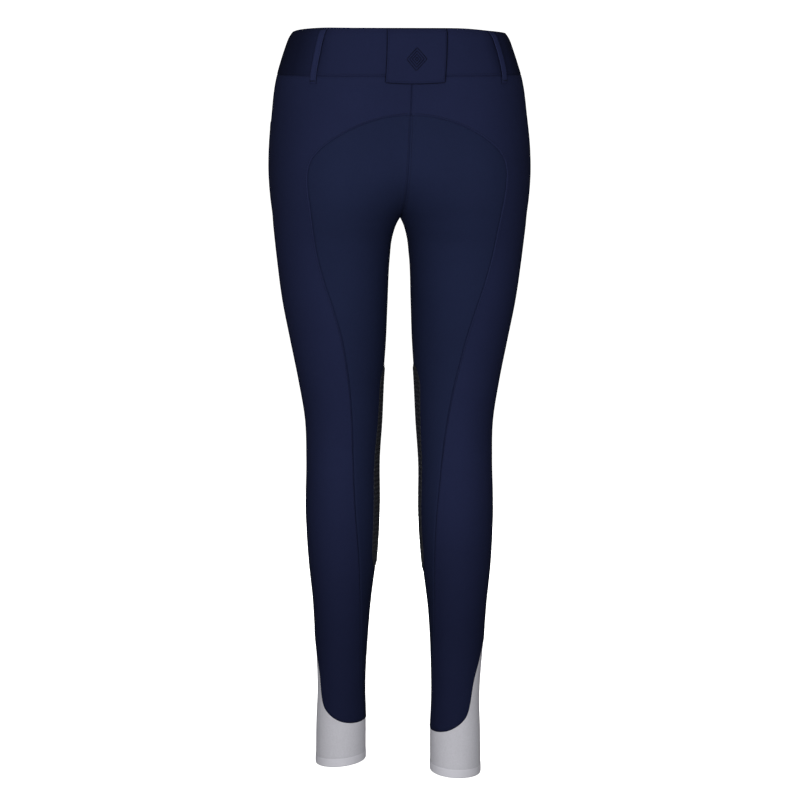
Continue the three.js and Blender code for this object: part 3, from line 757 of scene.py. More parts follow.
def sew(name, lines, pitch, length, width, material):
    """Joins the stitches of several lines into one piece of thread."""
    runs = [stitch_run(points, normals, pitch, length) for points, normals in lines]
    centres, tangents, normals = (np.concatenate(part) for part in zip(*runs))
    lengths = np.full(len(centres), length)
    piece = thread_mesh(name, centres, tangents, normals, lengths, width)
    finish_piece(piece, material)
    return piece


# Shader expressions

class Socket:
    """A shader socket that takes part in Python expressions."""

    def __init__(self, material, socket):
        self.material = material
        self.socket = socket

    def math(self, operation, other=None, is_first=True):
        node = self.material.node_tree.nodes.new("ShaderNodeMath")
        node.operation = operation
        order = (self, other) if is_first else (other, self)
        for value, slot in zip(order, node.inputs):
            if isinstance(value, Socket):
                self.material.node_tree.links.new(value.socket, slot)
            elif value is not None:
                slot.default_value = value
        return Socket(self.material, node.outputs[0])

    def __add__(self, other):
        return self.math("ADD", other)

    __radd__ = __add__

    def __mul__(self, other):
        return self.math("MULTIPLY", other)

    __rmul__ = __mul__

    def __sub__(self, other):
        return self.math("SUBTRACT", other)

    def __rsub__(self, other):
        return self.math("SUBTRACT", other, is_first=False)

    def __truediv__(self, other):
        return self.math("DIVIDE", other)

    def __pow__(self, other):
        return self.math("POWER", other)

    def sine(self):
        return self.math("SINE")

    def absolute(self):
        return self.math("ABSOLUTE")

    def at_least(self, other):
        return self.math("MAXIMUM", other)

    def at_most(self, other):
        return self.math("MINIMUM", other)


class Finish:
    """A material under construction, with one method for every kind of node."""

    def __init__(self, name):
        self.material = bpy.data.materials.new(name)
        self.material.use_nodes = True
        self.tree = self.material.node_tree
        self.shader = self.tree.nodes["Principled BSDF"]

    def node(self, kind, settings=None, inputs=None):
        node = self.tree.nodes.new(kind)
        for key, value in (settings or {}).items():
            setattr(node, key, value)
        for key, value in (inputs or {}).items():
            self.feed(node.inputs[key], value)
        return node

    def feed(self, slot, value):
        if isinstance(value, Socket):
            self.tree.links.new(value.socket, slot)
        else:
            slot.default_value = value

    def output(self, node, key=0):
        return Socket(self, node.outputs[key])

    @property
    def node_tree(self):
        return self.tree

    def cloth_axes(self):
        """The cloth's own coordinates in metres: across the grain and along it."""
        uv = self.output(self.node("ShaderNodeUVMap", {"uv_map": "cloth"}))
        parts = self.node("ShaderNodeSeparateXYZ", inputs={0: uv})
        return self.output(parts, 0), self.output(parts, 1)

    def noise(self, scale, detail=3.0, roughness=0.55):
        place = self.output(self.node("ShaderNodeTexCoord"), "Object")
        inputs = {"Vector": place, "Scale": scale, "Detail": detail, "Roughness": roughness}
        return self.output(self.node("ShaderNodeTexNoise", inputs=inputs), "Fac")

    def mix(self, factor, first, second):
        node = self.node("ShaderNodeMix", {"data_type": "RGBA"})
        self.feed(node.inputs["Factor"], factor)
        self.feed(node.inputs[6], first)
        self.feed(node.inputs[7], second)
        return self.output(node, 2)

    def bump(self, height, strength, distance):
        inputs = {"Height": height, "Strength": strength, "Distance": distance}
        self.set("Normal", self.output(self.node("ShaderNodeBump", inputs=inputs)))

    def set(self, name, value):
        self.feed(self.shader.inputs[name], value)


def shade(colour, factor):
    return tuple(channel * factor for channel in colour[:3]) + (1.0,)


# Darkest and lightest dye as shares of a cloth's colour, and its weave pitches in metres
DYE_DARK = 0.82
DYE_LIGHT = 1.2
WALE_PITCH = 0.0009
PICK_PITCH = 0.0006
RIB_PITCH = 0.0016
COURSE_PITCH = 0.0011


def stretch_twill(name, colour, painted_shade=None):
    """Smooth four-way stretch cloth: a fine twill, with faint uneven dye and nap.

    Where given, the last argument paints shade into the colour: it darkens over the cloth's
    width or length, from start to end in metres, down to share times the colour.
    """
    finish = Finish(name)
    across, along = finish.cloth_axes()
    wale = ((across * 1.0 + along * 0.6) * (2 * math.pi / WALE_PITCH)).sine()
    pick = (along * (2 * math.pi / PICK_PITCH)).sine()
    weave = wale * 0.6 + wale * pick * 0.4
    dye = finish.noise(7.0, 4.0, 0.6)
    nap = finish.noise(420.0, 2.0, 0.7)
    tone = (dye * 0.7 + nap * 0.5 + weave * 0.06 - 0.1).at_least(0.0).at_most(1.0)
    dye_and_shade = finish.mix(tone, shade(colour, DYE_DARK), shade(colour, DYE_LIGHT))
    # Painted shade: the colour darkens over the given span of the cloth, as if less light fell
    # there.
    if painted_shade:
        place = across if painted_shade["over"] == "width" else along
        span = painted_shade["end"] - painted_shade["start"]
        reach = (place.absolute() - painted_shade["start"]) / span
        dark = shade(colour, DYE_DARK * painted_shade["share"])
        light = shade(colour, DYE_LIGHT * painted_shade["share"])
        deep = finish.mix(tone, dark, light)
        dye_and_shade = finish.mix(reach.at_least(0.0).at_most(1.0), dye_and_shade, deep)
    finish.set("Base Color", dye_and_shade)
    finish.set("Roughness", nap * 0.12 + 0.8)
    finish.set("Specular IOR Level", 0.04)
    finish.bump(weave * 0.5 + nap * 0.6 + dye * 0.4, 0.22, 0.0003)
    return finish.material


# The knit's faint glow is painted light: it stands in for the light that passes through thin
# cloth.
KNIT_PAINTED_GLOW = 0.13


def elastic_knit(name, colour):
    """Thin elastic knit for the cuffs: fine upright ribs over short courses."""
    finish = Finish(name)
    across, along = finish.cloth_axes()
    rib = (across * (2 * math.pi / RIB_PITCH)).sine().absolute()
    course = (along * (2 * math.pi / COURSE_PITCH)).sine()
    cloud = finish.noise(22.0, 4.0, 0.6)
    speck = finish.noise(430.0, 2.0, 0.6)
    tone = (rib * 0.3 + course * 0.08 + cloud * 0.3 + speck * 0.45 - 0.1).at_most(1.0)
    knit = finish.mix(tone, shade(colour, 0.8), shade(colour, 1.16))
    folded = ((along + HEM_FOLD * MM) * 1500).at_least(0.0).at_most(0.6)
    pale = finish.mix(folded, knit, shade(colour, 1.18))
    finish.set("Base Color", pale)
    # Painted light: the knit glows faintly in its own pale colour.
    finish.set("Emission Color", pale)
    finish.set("Emission Strength", KNIT_PAINTED_GLOW)
    finish.set("Roughness", speck * 0.1 + 0.72)
    finish.set("Specular IOR Level", 0.1)
    finish.bump(rib * 0.7 + course * 0.25 + speck * 0.3, 0.35, 0.0003)
    return finish.material


def grip_rubber(name, colour):
    """Matt silicone with a dusting of lint and slight wear."""
    finish = Finish(name)
    lint = finish.noise(260.0, 3.0, 0.7)
    wear = finish.noise(18.0, 3.0, 0.5)
    finish.set("Base Color", finish.mix(lint * wear, shade(colour, 0.75), shade(colour, 2.2)))
    finish.set("Roughness", wear * 0.25 + 0.42)
    finish.set("Specular IOR Level", 0.4)
    finish.bump(lint, 0.2, 0.0002)
    return finish.material


def sewing_thread(name, colour):
    """Twisted thread with a soft lustre."""
    finish = Finish(name)
    twist = finish.noise(1500.0, 2.0, 0.6)
    finish.set("Base Color", finish.mix(twist, shade(colour, 0.7), shade(colour, 1.25)))
    finish.set("Roughness", twist * 0.2 + 0.55)
    finish.set("Specular IOR Level", 0.08)
    finish.bump(twist, 0.3, 0.0001)
    return finish.material


def brushed_metal(name, colour):
    """Satin metal with fine scratches."""
    finish = Finish(name)
    scratch = finish.noise(900.0, 4.0, 0.7)
    cloud = finish.noise(60.0, 2.0, 0.5)
    finish.set("Base Color", finish.mix(cloud, shade(colour, 0.8), shade(colour, 1.1)))
    finish.set("Metallic", 1.0)
    finish.set("Roughness", scratch * 0.2 + 0.25)
    finish.bump(scratch, 0.1, 0.0001)
    return finish.material


def pale_studio(name, colour):
    """The studio's floor and backdrop, which glow a plain pale white."""
    finish = Finish(name)
    dust = finish.noise(1.5, 2.0, 0.5)
    tone = finish.mix(dust, shade(colour, 0.995), shade(colour, 1.0))
    finish.set("Base Color", tone)
    finish.set("Roughness", 1.0)
    finish.set("Emission Color", tone)
    finish.set("Emission Strength", 1.0)
    return finish.material


# Settings

class ClothSettings(bpy.types.PropertyGroup):
    """Colours of the cloths, thread, grips and button."""

    navy: FloatVectorProperty(
        name="Leg cloth", description="Colour of the legs", subtype="COLOR",
        size=3, default=(0.0170, 0.0220, 0.0640), min=0, max=1,
    )
    seat: FloatVectorProperty(
        name="Seat cloth", description="Colour of the full seat", subtype="COLOR",
        size=3, default=(0.0150, 0.0208, 0.0580), min=0, max=1,
    )
    band: FloatVectorProperty(
        name="Waistband cloth", description="Colour of the waistband and loops",
        subtype="COLOR", size=3, default=(0.0165, 0.0212, 0.0620), min=0, max=1,
    )
    cuff: FloatVectorProperty(
        name="Cuff knit", description="Colour of the elastic cuffs", subtype="COLOR",
        size=3, default=(0.60, 0.595, 0.645), min=0, max=1,
    )
    thread: FloatVectorProperty(
        name="Thread", description="Colour of the topstitching", subtype="COLOR",
        size=3, default=(0.0090, 0.0115, 0.0340), min=0, max=1,
    )
    grip: FloatVectorProperty(
        name="Grip", description="Colour of the knee grips", subtype="COLOR",
        size=3, default=(0.014, 0.015, 0.022), min=0, max=1,
    )
    metal: FloatVectorProperty(
        name="Button", description="Colour of the waist button", subtype="COLOR",
        size=3, default=(0.52, 0.52, 0.55), min=0, max=1,
    )


class SewingSettings(bpy.types.PropertyGroup):
    """Sizes of the stitching and the grip's print."""

    pitch: FloatProperty(
        name="Stitch pitch", description="From one stitch to the next, in millimetres",
        default=3.3, min=1, max=8,
    )
    length: FloatProperty(
        name="Stitch length", description="Length of the thread that shows, in millimetres",
        default=2.6, min=0.5, max=7,
    )
    width: FloatProperty(
        name="Thread width", description="Thickness of the thread, in millimetres",
        default=0.55, min=0.1, max=2,
    )
    grip_rows: IntProperty(
        name="Grip rows", description="Rows of raised lozenges on each knee grip",
        default=44, min=4, max=80,
    )


finishes = {}


def build_finishes():
    """Makes each material once."""
    cloth = bpy.context.scene.breeches_cloth
    # Painted shade: the legs and seat darken down the calves, and the waistband towards its
    # sides.
    calf = {"over": "length", "start": 0.56, "end": 0.78, "share": 0.68}
    sides = {"over": "width", "start": 0.085, "end": 0.15, "share": 0.56}
    finishes["leg_cloth"] = stretch_twill("leg_cloth_finish", cloth.navy, calf)
    finishes["seat_cloth"] = stretch_twill("seat_cloth_finish", cloth.seat, calf)
    finishes["waistband_cloth"] = stretch_twill("waistband_cloth_finish", cloth.band, sides)
    finishes["cuff_cloth"] = elastic_knit("cuff_knit_finish", cloth.cuff)
    finishes["grip"] = grip_rubber("grip_finish", cloth.grip)
    # Painted light: the loops' cloth is the band's colour made 1.3 times lighter, as if their
    # faces caught more light.
    finishes["lit_loop_cloth"] = stretch_twill("lit_loop_cloth_finish", shade(cloth.band, 1.3))
    finishes["thread"] = sewing_thread("thread_finish", cloth.thread)
    # Dark thread for the embroidered lozenge, and for the painted shadow lines round the loops.
    finishes["embroidery_and_shadow_thread"] = sewing_thread("embroidery_and_shadow_finish", shade(cloth.thread, 0.45))
    finishes["cuff_thread"] = sewing_thread("cuff_thread_finish", cloth.cuff)
    finishes["button_metal"] = brushed_metal("button_finish", cloth.metal)


def finish_piece(piece, finish, nodes=()):
    """Gives a piece its finish, its body and the nodes that it stands for."""
    piece.data.materials.append(finishes[finish])
    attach(piece, "root")
    if nodes:
        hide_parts(*nodes)


SIDES = (("left", 1), ("right", -1))


# Pieces

FRONT_COLUMNS = 54
BACK_COLUMNS = 46
SEAT_COLUMNS = 44


def make_front_legs():
    for name, side in SIDES:
        seams = ((FRONT_SIDE, True), (FRONT_CENTRE, True))
        label = f"front_leg_{name}_cloth"
        piece = leg_panel(label, side, FRONT_SIDE, FRONT_CENTRE, FRONT_COLUMNS, seams)
        finish_piece(piece, "leg_cloth", (f"front_leg_{name}",))


def make_back_legs():
    for name, side in SIDES:
        seams = ((SIDE, False), (BACK_CENTRE, False), (ARCH, True))
        label = f"back_leg_{name}_cloth"
        piece = leg_panel(label, side, SIDE, BACK_CENTRE, BACK_COLUMNS, seams)
        finish_piece(piece, "leg_cloth", (f"back_leg_{name}",))


def make_seats():
    for name, side in SIDES:
        seams = ((ARCH, False), (SEAT_CENTRE, True))
        label = f"seat_leg_{name}_cloth"
        piece = leg_panel(label, side, ARCH, SEAT_CENTRE, SEAT_COLUMNS, seams)
        finish_piece(piece, "seat_cloth", (f"seat_leg_{name}",))


FACING_TUCK = 8.0


def make_pocket_facings():
    for name, side in SIDES:
        rows = 26
        columns = 24
        down = lerp(WAIST_SEAM, POCKET_END - 4, shares(rows))[:, None]
        end = pocket_mouth(down) - FACING_TUCK * (1 - shares(rows)[:, None])
        angle = lerp(SIDE_SEAM, end, shares(columns)[None, :])
        down = np.broadcast_to(down, angle.shape)
        rise = np.exp(-(((angle - SIDE_SEAM) / 3) ** 2))
        out = -FACING_DEPTH + 1.2 * rise
        face = cloth_point(angle, down, side, out)
        lining = cloth_point(angle, down, side, out - CLOTH)
        cloth_uv = np.stack((angle * MM_PER_DEGREE, down), -1)
        piece = grid_shell(f"pocket_facing_{name}_cloth", face, lining, cloth_uv)
        finish_piece(piece, "leg_cloth", (f"pocket_facing_{name}",))


def rolled(distance, width, drop):
    """How far a folded edge rounds over within its last few millimetres."""
    near = np.clip(1 - distance / width, 0, 1)
    return -drop * near**2


def hem_level(angle):
    return HEM - HEM_INNER_RISE * (1 - np.cos(np.radians(angle))) / 2


def cuff_grid(columns, rows):
    angle = np.arange(columns)[None, :] * 360.0 / columns
    hem = hem_level(angle)
    top = cuff_edge(angle) - 2.0
    share = shares(rows)[:, None]
    down = lerp(top, hem, share)
    fold = smoothstep(down, hem - HEM_FOLD - 0.8, hem - HEM_FOLD + 0.4)
    groove = np.exp(-(((down - (hem - HEM_FOLD)) / 0.7) ** 2))
    edge = rolled(hem - down, 1.5, 0.5)
    out = -CUFF_SINK + HEM_FOLD_RISE * fold - 0.35 * groove + edge
    tuck = -1.4 * (1 - smoothstep(down - top, 0.5, 3.0))
    return angle + 0 * down, down, out + tuck


def make_cuffs():
    for name, side in SIDES:
        angle, down, out = cuff_grid(144, 96)
        face = cloth_point(angle, down, side, out)
        lining = cloth_point(angle, down, side, np.full_like(down, -CUFF_SINK - CUFF_WALL - 1))
        cloth_uv = np.stack((angle * 0.7, down - hem_level(angle)), -1)
        piece = grid_shell(f"cuff_{name}_knit", face, lining, cloth_uv, is_ring=True)
        finish_piece(piece, "cuff_cloth", (f"cuff_{name}",))


GRIP_BASE = 0.55
LOZENGE_HIGH = 0.75
LOZENGE_FILL = 0.40


def grip_half_angle(down):
    to_end = np.minimum(down - GRIP_TOP, GRIP_BOTTOM - down)
    bite = np.clip(1 - to_end / GRIP_CORNER, 0, 1)
    return GRIP_HALF_ANGLE - 12 * bite**2


def make_knee_grips():
    rows = bpy.context.scene.breeches_sewing.grip_rows
    for name, side in SIDES:
        down = lerp(GRIP_TOP, GRIP_BOTTOM, shares(90))[:, None]
        half = grip_half_angle(down)
        angle = GRIP_ANGLE + lerp(-half, half, crowded(24)[None, :])
        down = np.broadcast_to(down, angle.shape)
        face = cloth_point(angle, down, side, np.full(angle.shape, GRIP_BASE))
        lining = cloth_point(angle, down, side, np.full(angle.shape, 0.1))
        cloth_uv = np.stack((angle * MM_PER_DEGREE, down), -1)
        base = grid_shell(f"knee_grip_{name}_base", face, lining, cloth_uv)
        finish_piece(base, "grip", (f"knee_grip_{name}",))
        print_piece = grip_print(f"knee_grip_{name}_print", side, rows)
        finish_piece(print_piece, "grip")


def grip_print(name, side, rows):
    """Raised lozenges in offset rows, as one mesh."""
    pitch = (GRIP_BOTTOM - GRIP_TOP - 8) / rows
    angle_pitch = pitch / MM_PER_DEGREE * 2.0
    points = []
    faces = []
    for row in range(rows):
        middle = GRIP_TOP + 4 + pitch * (row + 0.5)
        half = float(grip_half_angle(np.array(middle))) - 2.5
        start = -half + (row % 2) * angle_pitch / 2
        for turn in np.arange(start, half, angle_pitch):
            reach = angle_pitch * LOZENGE_FILL
            tall = pitch * LOZENGE_FILL * 1.6
            corners = ((-reach, 0), (0, -tall), (reach, 0), (0, tall))
            first = len(points)
            for scale, out in ((1.0, GRIP_BASE - 0.1), (0.9, GRIP_BASE + 0.55),
                               (0.55, GRIP_BASE + LOZENGE_HIGH)):
                for da, dd in corners:
                    points.append((GRIP_ANGLE + turn + da * scale, middle + dd * scale, out))
            for ring in (0, 4):
                for corner in range(4):
                    a = first + ring + corner
                    b = first + ring + (corner + 1) % 4
                    faces.append((a, b, b + 4, a + 4))
            faces.append((first + 8, first + 9, first + 10, first + 11))
    places = np.array(points)
    cloth = cloth_point(places[:, 0], places[:, 1], side, places[:, 2])
    piece = mesh_object(name, cloth * MM, np.array(faces))
    return piece


def tab_lift(around):
    return TAB_LIFT * smoothstep(np.abs(around), TAB_RAMP_START, TAB_RAMP_END)


BAND_STITCH = 2.2
BAND_ROLL = 13.0
BAND_ROLL_DROP = (4.2, 2.6)


def band_roll(around, down):
    """The band's top edge rolls in, deeper over the elastic at the back."""
    drop = lerp(*BAND_ROLL_DROP, smoothstep(np.abs(around), 0.2, 0.45))
    return rolled(down - waist_top(around), BAND_ROLL, drop)


def band_shell(name, start, end, columns, end_round=0.0):
    """A stretch of waistband with rounded top edge and a soft roll over its elastic."""
    rows = 30
    across = crowded(rows, 0.5)[:, None]
    rounding = end_round * (1 - (2 * across - 1) ** 2) * np.sign(end)
    around = lerp(start, end + rounding, crowded(columns, 0.35)[None, :])
    down = lerp(waist_top(around), WAIST_SEAM, across)
    out = tab_lift(around) if end_round else np.zeros(around.shape)
    from_top = down - waist_top(around)
    from_seam = WAIST_SEAM - down
    out = out + band_roll(around, down) + rolled(from_seam, 1.6, 0.7)
    ripple = np.sin(around * 61 + 2 * np.sin(around * 23)) * np.sin(math.pi * across)
    out = out + 0.12 * ripple
    face = waist_point(around, down, out)
    lining = waist_point(around, down, out - lerp(1.2, BAND_WALL, smoothstep(from_top, 0, 6)))
    cloth_uv = np.stack((around * 400, down), -1)
    return grid_shell(name, face, lining, cloth_uv)


def make_waistband():
    stretches = (
        ("waistband_back", SIDE_SEAM_AROUND, -SIDE_SEAM_AROUND, 150, 0.0),
        ("waistband_front_left", SIDE_SEAM_AROUND, 0.9985, 60, 0.0),
        ("waistband_front_right", -SIDE_SEAM_AROUND, -TAB_AROUND, 90, TAB_ROUND),
    )
    for name, start, end, columns, end_round in stretches:
        piece = band_shell(f"{name}_cloth", start, end, columns, end_round)
        finish_piece(piece, "waistband_cloth", (name,))


def bowed(share, bow):
    return 0.3 + bow * np.sin(math.pi * np.clip(share, 0, 1)) ** 0.7


def around_per_mm(around, down):
    step = 0.01
    before = waist_point(around - step, down, np.zeros_like(down))
    after = waist_point(around + step, down, np.zeros_like(down))
    return 2 * step / np.linalg.norm(after - before, axis=-1)


def narrow_loop_grid(around, rows, columns):
    top = float(waist_top(around)) + LOOP_TOP_INSET
    share = shares(rows)[:, None]
    down = lerp(top, LOOP_END, share)
    across = crowded(columns, 0.6)[None, :] - 0.5
    offset = across * LOOP_WIDTH * around_per_mm(np.full(down.shape, around), down)
    out = bowed(share, LOOP_BOW) + LOOP_WALL + band_roll(around, down) + 0 * offset
    out = out + rolled((0.5 - np.abs(across)) * LOOP_WIDTH, 1.2, 0.6)
    out = out + rolled(share * (LOOP_END - top), 1.2, 0.6)
    out = out + rolled((1 - share) * (LOOP_END - top), 1.2, 0.6)
    return around + offset, down + 0 * offset, out


def make_narrow_loops():
    places = (("back_loop", BACK_LOOP_AROUND), ("front_loop", FRONT_LOOP_AROUND))
    for kind, around in places:
        for name, side in SIDES:
            grid_around, down, out = narrow_loop_grid(side * around, 40, 10)
            face = waist_point(grid_around, down, out)
            lining = waist_point(grid_around, down, out - LOOP_WALL)
            cloth_uv = np.stack((grid_around * 400, down), -1)
            piece = grid_shell(f"{kind}_{name}_cloth", face, lining, cloth_uv)
            finish_piece(piece, "lit_loop_cloth", (f"{kind}_{name}",))


def wide_loop_place(across, share):
    """x and down on the wide loop: across from its left edge, share from its top."""
    top = float(waist_top(0.0)) + LOOP_TOP_INSET
    top_x = lerp(WIDE_LOOP_TOP_X[0], WIDE_LOOP_TOP_X[1], across)
    end_x = lerp(WIDE_LOOP_END_X[0], WIDE_LOOP_END_X[1], across)
    end = WIDE_LOOP_END + WIDE_LOOP_SAG * (1 - (2 * across - 1) ** 2)
    return lerp(top_x, end_x, share), lerp(top, end, share)


def make_wide_loop():
    share = crowded(60, 0.5)[:, None]
    across = crowded(56, 0.5)[None, :]
    x, down = wide_loop_place(across, share)
    middle = bowed(share, WIDE_LOOP_BOW) + band_roll(0.0, down)
    out = middle + LOOP_WALL + rolled(np.minimum(across, 1 - across) * 76, 2.4, 1.3)
    out = out + rolled(np.minimum(share, 1 - share) * 68, 2.2, 1.2)
    face = x_point(x, down, out, True)
    lining = x_point(x, down, middle, True)
    cloth_uv = np.stack((x, down), -1)
    piece = grid_shell("centre_back_loop_cloth", face, lining, cloth_uv)
    finish_piece(piece, "waistband_cloth", ("centre_back_loop",))


# A plain embroidered lozenge in tone-on-tone thread, on the wide loop.
LOZENGE_HALF_WIDTH = 13.0
LOZENGE_HALF_HEIGHT = 14.5
LOZENGE_ACROSS = 0.5
LOZENGE_SHARE = 0.57


def wide_loop_line(across, share, lift):
    x, down = wide_loop_place(across, share)
    out = bowed(share, WIDE_LOOP_BOW) + LOOP_WALL + band_roll(0.0, down) + lift
    return x_line(x, down, out, True)


def make_lozenge():
    lines = []
    for scale in (1.0, 0.72, 0.44, 0.16):
        corners = ((0, -1), (1, 0), (0, 1), (-1, 0), (0, -1))
        for start, end in zip(corners[:-1], corners[1:]):
            step = np.linspace(0.04, 0.96, 12)
            dx = lerp(start[0], end[0], step) * LOZENGE_HALF_WIDTH * scale / 76.4
            dy = lerp(start[1], end[1], step) * LOZENGE_HALF_HEIGHT * scale / 70
            lines.append(wide_loop_line(LOZENGE_ACROSS + dx, LOZENGE_SHARE + dy, 0.1))
    sew("lozenge_embroidery", lines, 1.0, 2.2, 1.0, "embroidery_and_shadow_thread")


def make_fly():
    rows = 44
    columns = 30
    down = lerp(WAIST_SEAM, FLY_END, shares(rows))[:, None]
    past = np.clip((down - FLY_STRAIGHT_END) / (FLY_END - FLY_STRAIGHT_END), 0, 1)
    right = FLY_RIGHT_X * np.sqrt(1 - past**2)
    x = lerp(FLY_LEFT_X, right, crowded(columns, 0.5)[None, :])
    down = np.broadcast_to(down, x.shape)
    out = FLY_GAP + CLOTH * 0.6 + rolled(FLY_LEFT_X - x, 1.5, 0.6)
    out = out + rolled(x - right, 5.0, 1.2)
    face = x_point(x, down, out, False)
    lining = x_point(x, down, np.minimum(out - 0.7, 0.1), False)
    cloth_uv = np.stack((x, down), -1)
    piece = grid_shell("fly_front_cloth", face, lining, cloth_uv)
    finish_piece(piece, "leg_cloth", ("fly_front",))


BUTTON_PROFILE = (
    (0.0, 1.9), (3.0, 1.9), (5.6, 2.1), (6.3, 2.5), (6.9, 2.95), (7.6, 3.0),
    (8.2, 2.75), (8.5, 2.2), (8.5, 1.2), (8.2, 0.5), (7.4, 0.1), (0.0, 0.0),
)


def make_button():
    sides = 64
    points = []
    for radius, height in BUTTON_PROFILE:
        for corner in range(sides):
            turn = 2 * math.pi * corner / sides
            points.append((radius * math.cos(turn), radius * math.sin(turn), height))
    faces = []
    for ring in range(len(BUTTON_PROFILE) - 1):
        for corner in range(sides):
            a = ring * sides + corner
            b = ring * sides + (corner + 1) % sides
            faces.append((a, a + sides, b + sides, b))
    middle = (float(waist_top(1.0)) + WAIST_SEAM) / 2
    points_line, normals = waist_line(-BUTTON_AROUND, np.array([middle]), TAB_LIFT + 0.3)
    axis = Vector(normals[0])
    turn = axis.to_track_quat("Z", "Y").to_matrix()
    placed = np.array(points) @ np.array(turn).T + points_line[0]
    piece = mesh_object("waist_button_metal", placed * MM, np.array(faces))
    finish_piece(piece, "button_metal", ("waist_button",))


# Topstitching

def band_run(start, end, from_seam, lifted):
    around = np.linspace(start, end, 260)
    lift = tab_lift(around) if lifted else np.zeros(around.shape)
    return waist_line(around, WAIST_SEAM - from_seam, lift)


def make_band_stitching(sewing):
    lines = []
    for start, end, lifted in (
        (SIDE_SEAM_AROUND, -SIDE_SEAM_AROUND, False),
        (SIDE_SEAM_AROUND, 0.997, False),
        (-SIDE_SEAM_AROUND, -TAB_AROUND, True),
    ):
        lines.append(band_run(start, end, from_seam=BAND_STITCH, lifted=lifted))
    sew("waistband_stitching", lines, sewing.pitch, sewing.length, sewing.width, "thread")


def make_seat_stitching(sewing):
    lines = []
    for _, side in SIDES:
        lines.append(leg_line(ARCH[1:-2], side, 2.2, 0.3))
        seat = SEAT_CENTRE[:DOME_STEPS - 3]
        lines.append(leg_line(seat, side, 2.2, 0.25))
    sew("seat_stitching", lines, sewing.pitch, sewing.length, sewing.width, "thread")


def make_front_stitching(sewing):
    lines = []
    levels = np.linspace(WAIST_SEAM + 2, POCKET_END - 1, 60)
    for _, side in SIDES:
        mouth = path_of(pocket_mouth(levels), levels)
        lines.append(leg_line(mouth, side, 2.2, 0.25))
        lines.append(leg_line(mouth, side, 7.0, 0.2))
        lines.append(leg_line(FRONT_INNER[4:-2] - (360, 0), side, 2.2, 0.25))
    for inset in (3.2, 8.0):
        down = np.linspace(WAIST_SEAM + 2, FLY_END - inset, 90)
        past = np.clip((down - FLY_STRAIGHT_END) / (FLY_END - FLY_STRAIGHT_END), 0, 1)
        right = FLY_RIGHT_X * np.sqrt(1 - past**2)
        lines.append(x_line(np.minimum(right + inset, 3), down, FLY_GAP + 0.75, False))
    sew("front_stitching", lines, sewing.pitch, sewing.length, sewing.width, "thread")


def make_hem_stitching(sewing):
    cuff_lines = []
    cloth_lines = []
    angle = np.linspace(0, 360, 400)
    hem = hem_level(angle)
    for _, side in SIDES:
        for above in (HEM_FOLD - 1.4, HEM_FOLD + 1.0):
            down = hem - above
            lift = np.full(angle.shape, -CUFF_SINK + 0.25)
            cuff_lines.append((
                cloth_point(angle, down, side, lift), face_normal(angle, down, side),
            ))
        edge = cuff_edge(angle) - 2.4
        lift = np.full(angle.shape, 0.15)
        cloth_lines.append((
            cloth_point(angle, edge, side, lift), face_normal(angle, edge, side),
        ))
    sew("hem_stitching", cuff_lines, sewing.pitch, sewing.length, FINE_THREAD, "cuff_thread")
    sew("cuff_seam_stitching", cloth_lines, sewing.pitch, sewing.length, sewing.width, "thread")


# Stitching round the wide loop: its inset, the loop's span and fall, and points to a line
LOOP_STITCH_INSET = 2.4
WIDE_LOOP_SPAN = 76.4
WIDE_LOOP_FALL = 70
LINE_STEPS = 70
FINE_THREAD = 0.45


def make_loop_stitching(sewing):
    lines = []
    step = LOOP_STITCH_INSET / WIDE_LOOP_SPAN
    fall = LOOP_STITCH_INSET / WIDE_LOOP_FALL
    edge = np.linspace(fall, 1 - fall, LINE_STEPS)
    flat = np.linspace(step, 1 - step, LINE_STEPS)
    for share in (step, 1 - step):
        lines.append(wide_loop_line(np.full(LINE_STEPS, share), edge, -0.05))
    lines.append(wide_loop_line(flat, np.full(LINE_STEPS, 1 - fall), -0.05))
    for around in (BACK_LOOP_AROUND, FRONT_LOOP_AROUND):
        for _, side in SIDES:
            grid_around, down, out = narrow_loop_grid(side * around, 40, 10)
            for column in (2, 8):
                lines.append(waist_line(
                    grid_around[:, column], down[:, column], out[:, column] + 0.05,
                ))
    sew("loop_stitching", lines, sewing.pitch, sewing.length, FINE_THREAD, "thread")
    make_loop_shadow_lines()
    make_bar_tacks()


def make_loop_shadow_lines():
    """Dark thread lines round each loop's edges: painted shadow for the gap under each loop."""
    lines = []
    whole = np.linspace(0.01, 0.995, LINE_STEPS)
    for across in (-0.004, 1.004):
        lines.append(wide_loop_line(np.full(LINE_STEPS, across), whole, -0.9))
    lines.append(wide_loop_line(whole, np.full(LINE_STEPS, 1.006), -0.9))
    for around in (BACK_LOOP_AROUND, FRONT_LOOP_AROUND):
        for _, side in SIDES:
            grid_around, down, out = narrow_loop_grid(side * around, 40, 10)
            for column in (0, -1):
                edge = (grid_around[:, column], down[:, column], out[:, column] - 0.6)
                lines.append(waist_line(*edge))
    sew("loop_shadow_lines", lines, 1.6, 2.0, 0.9, "embroidery_and_shadow_thread")


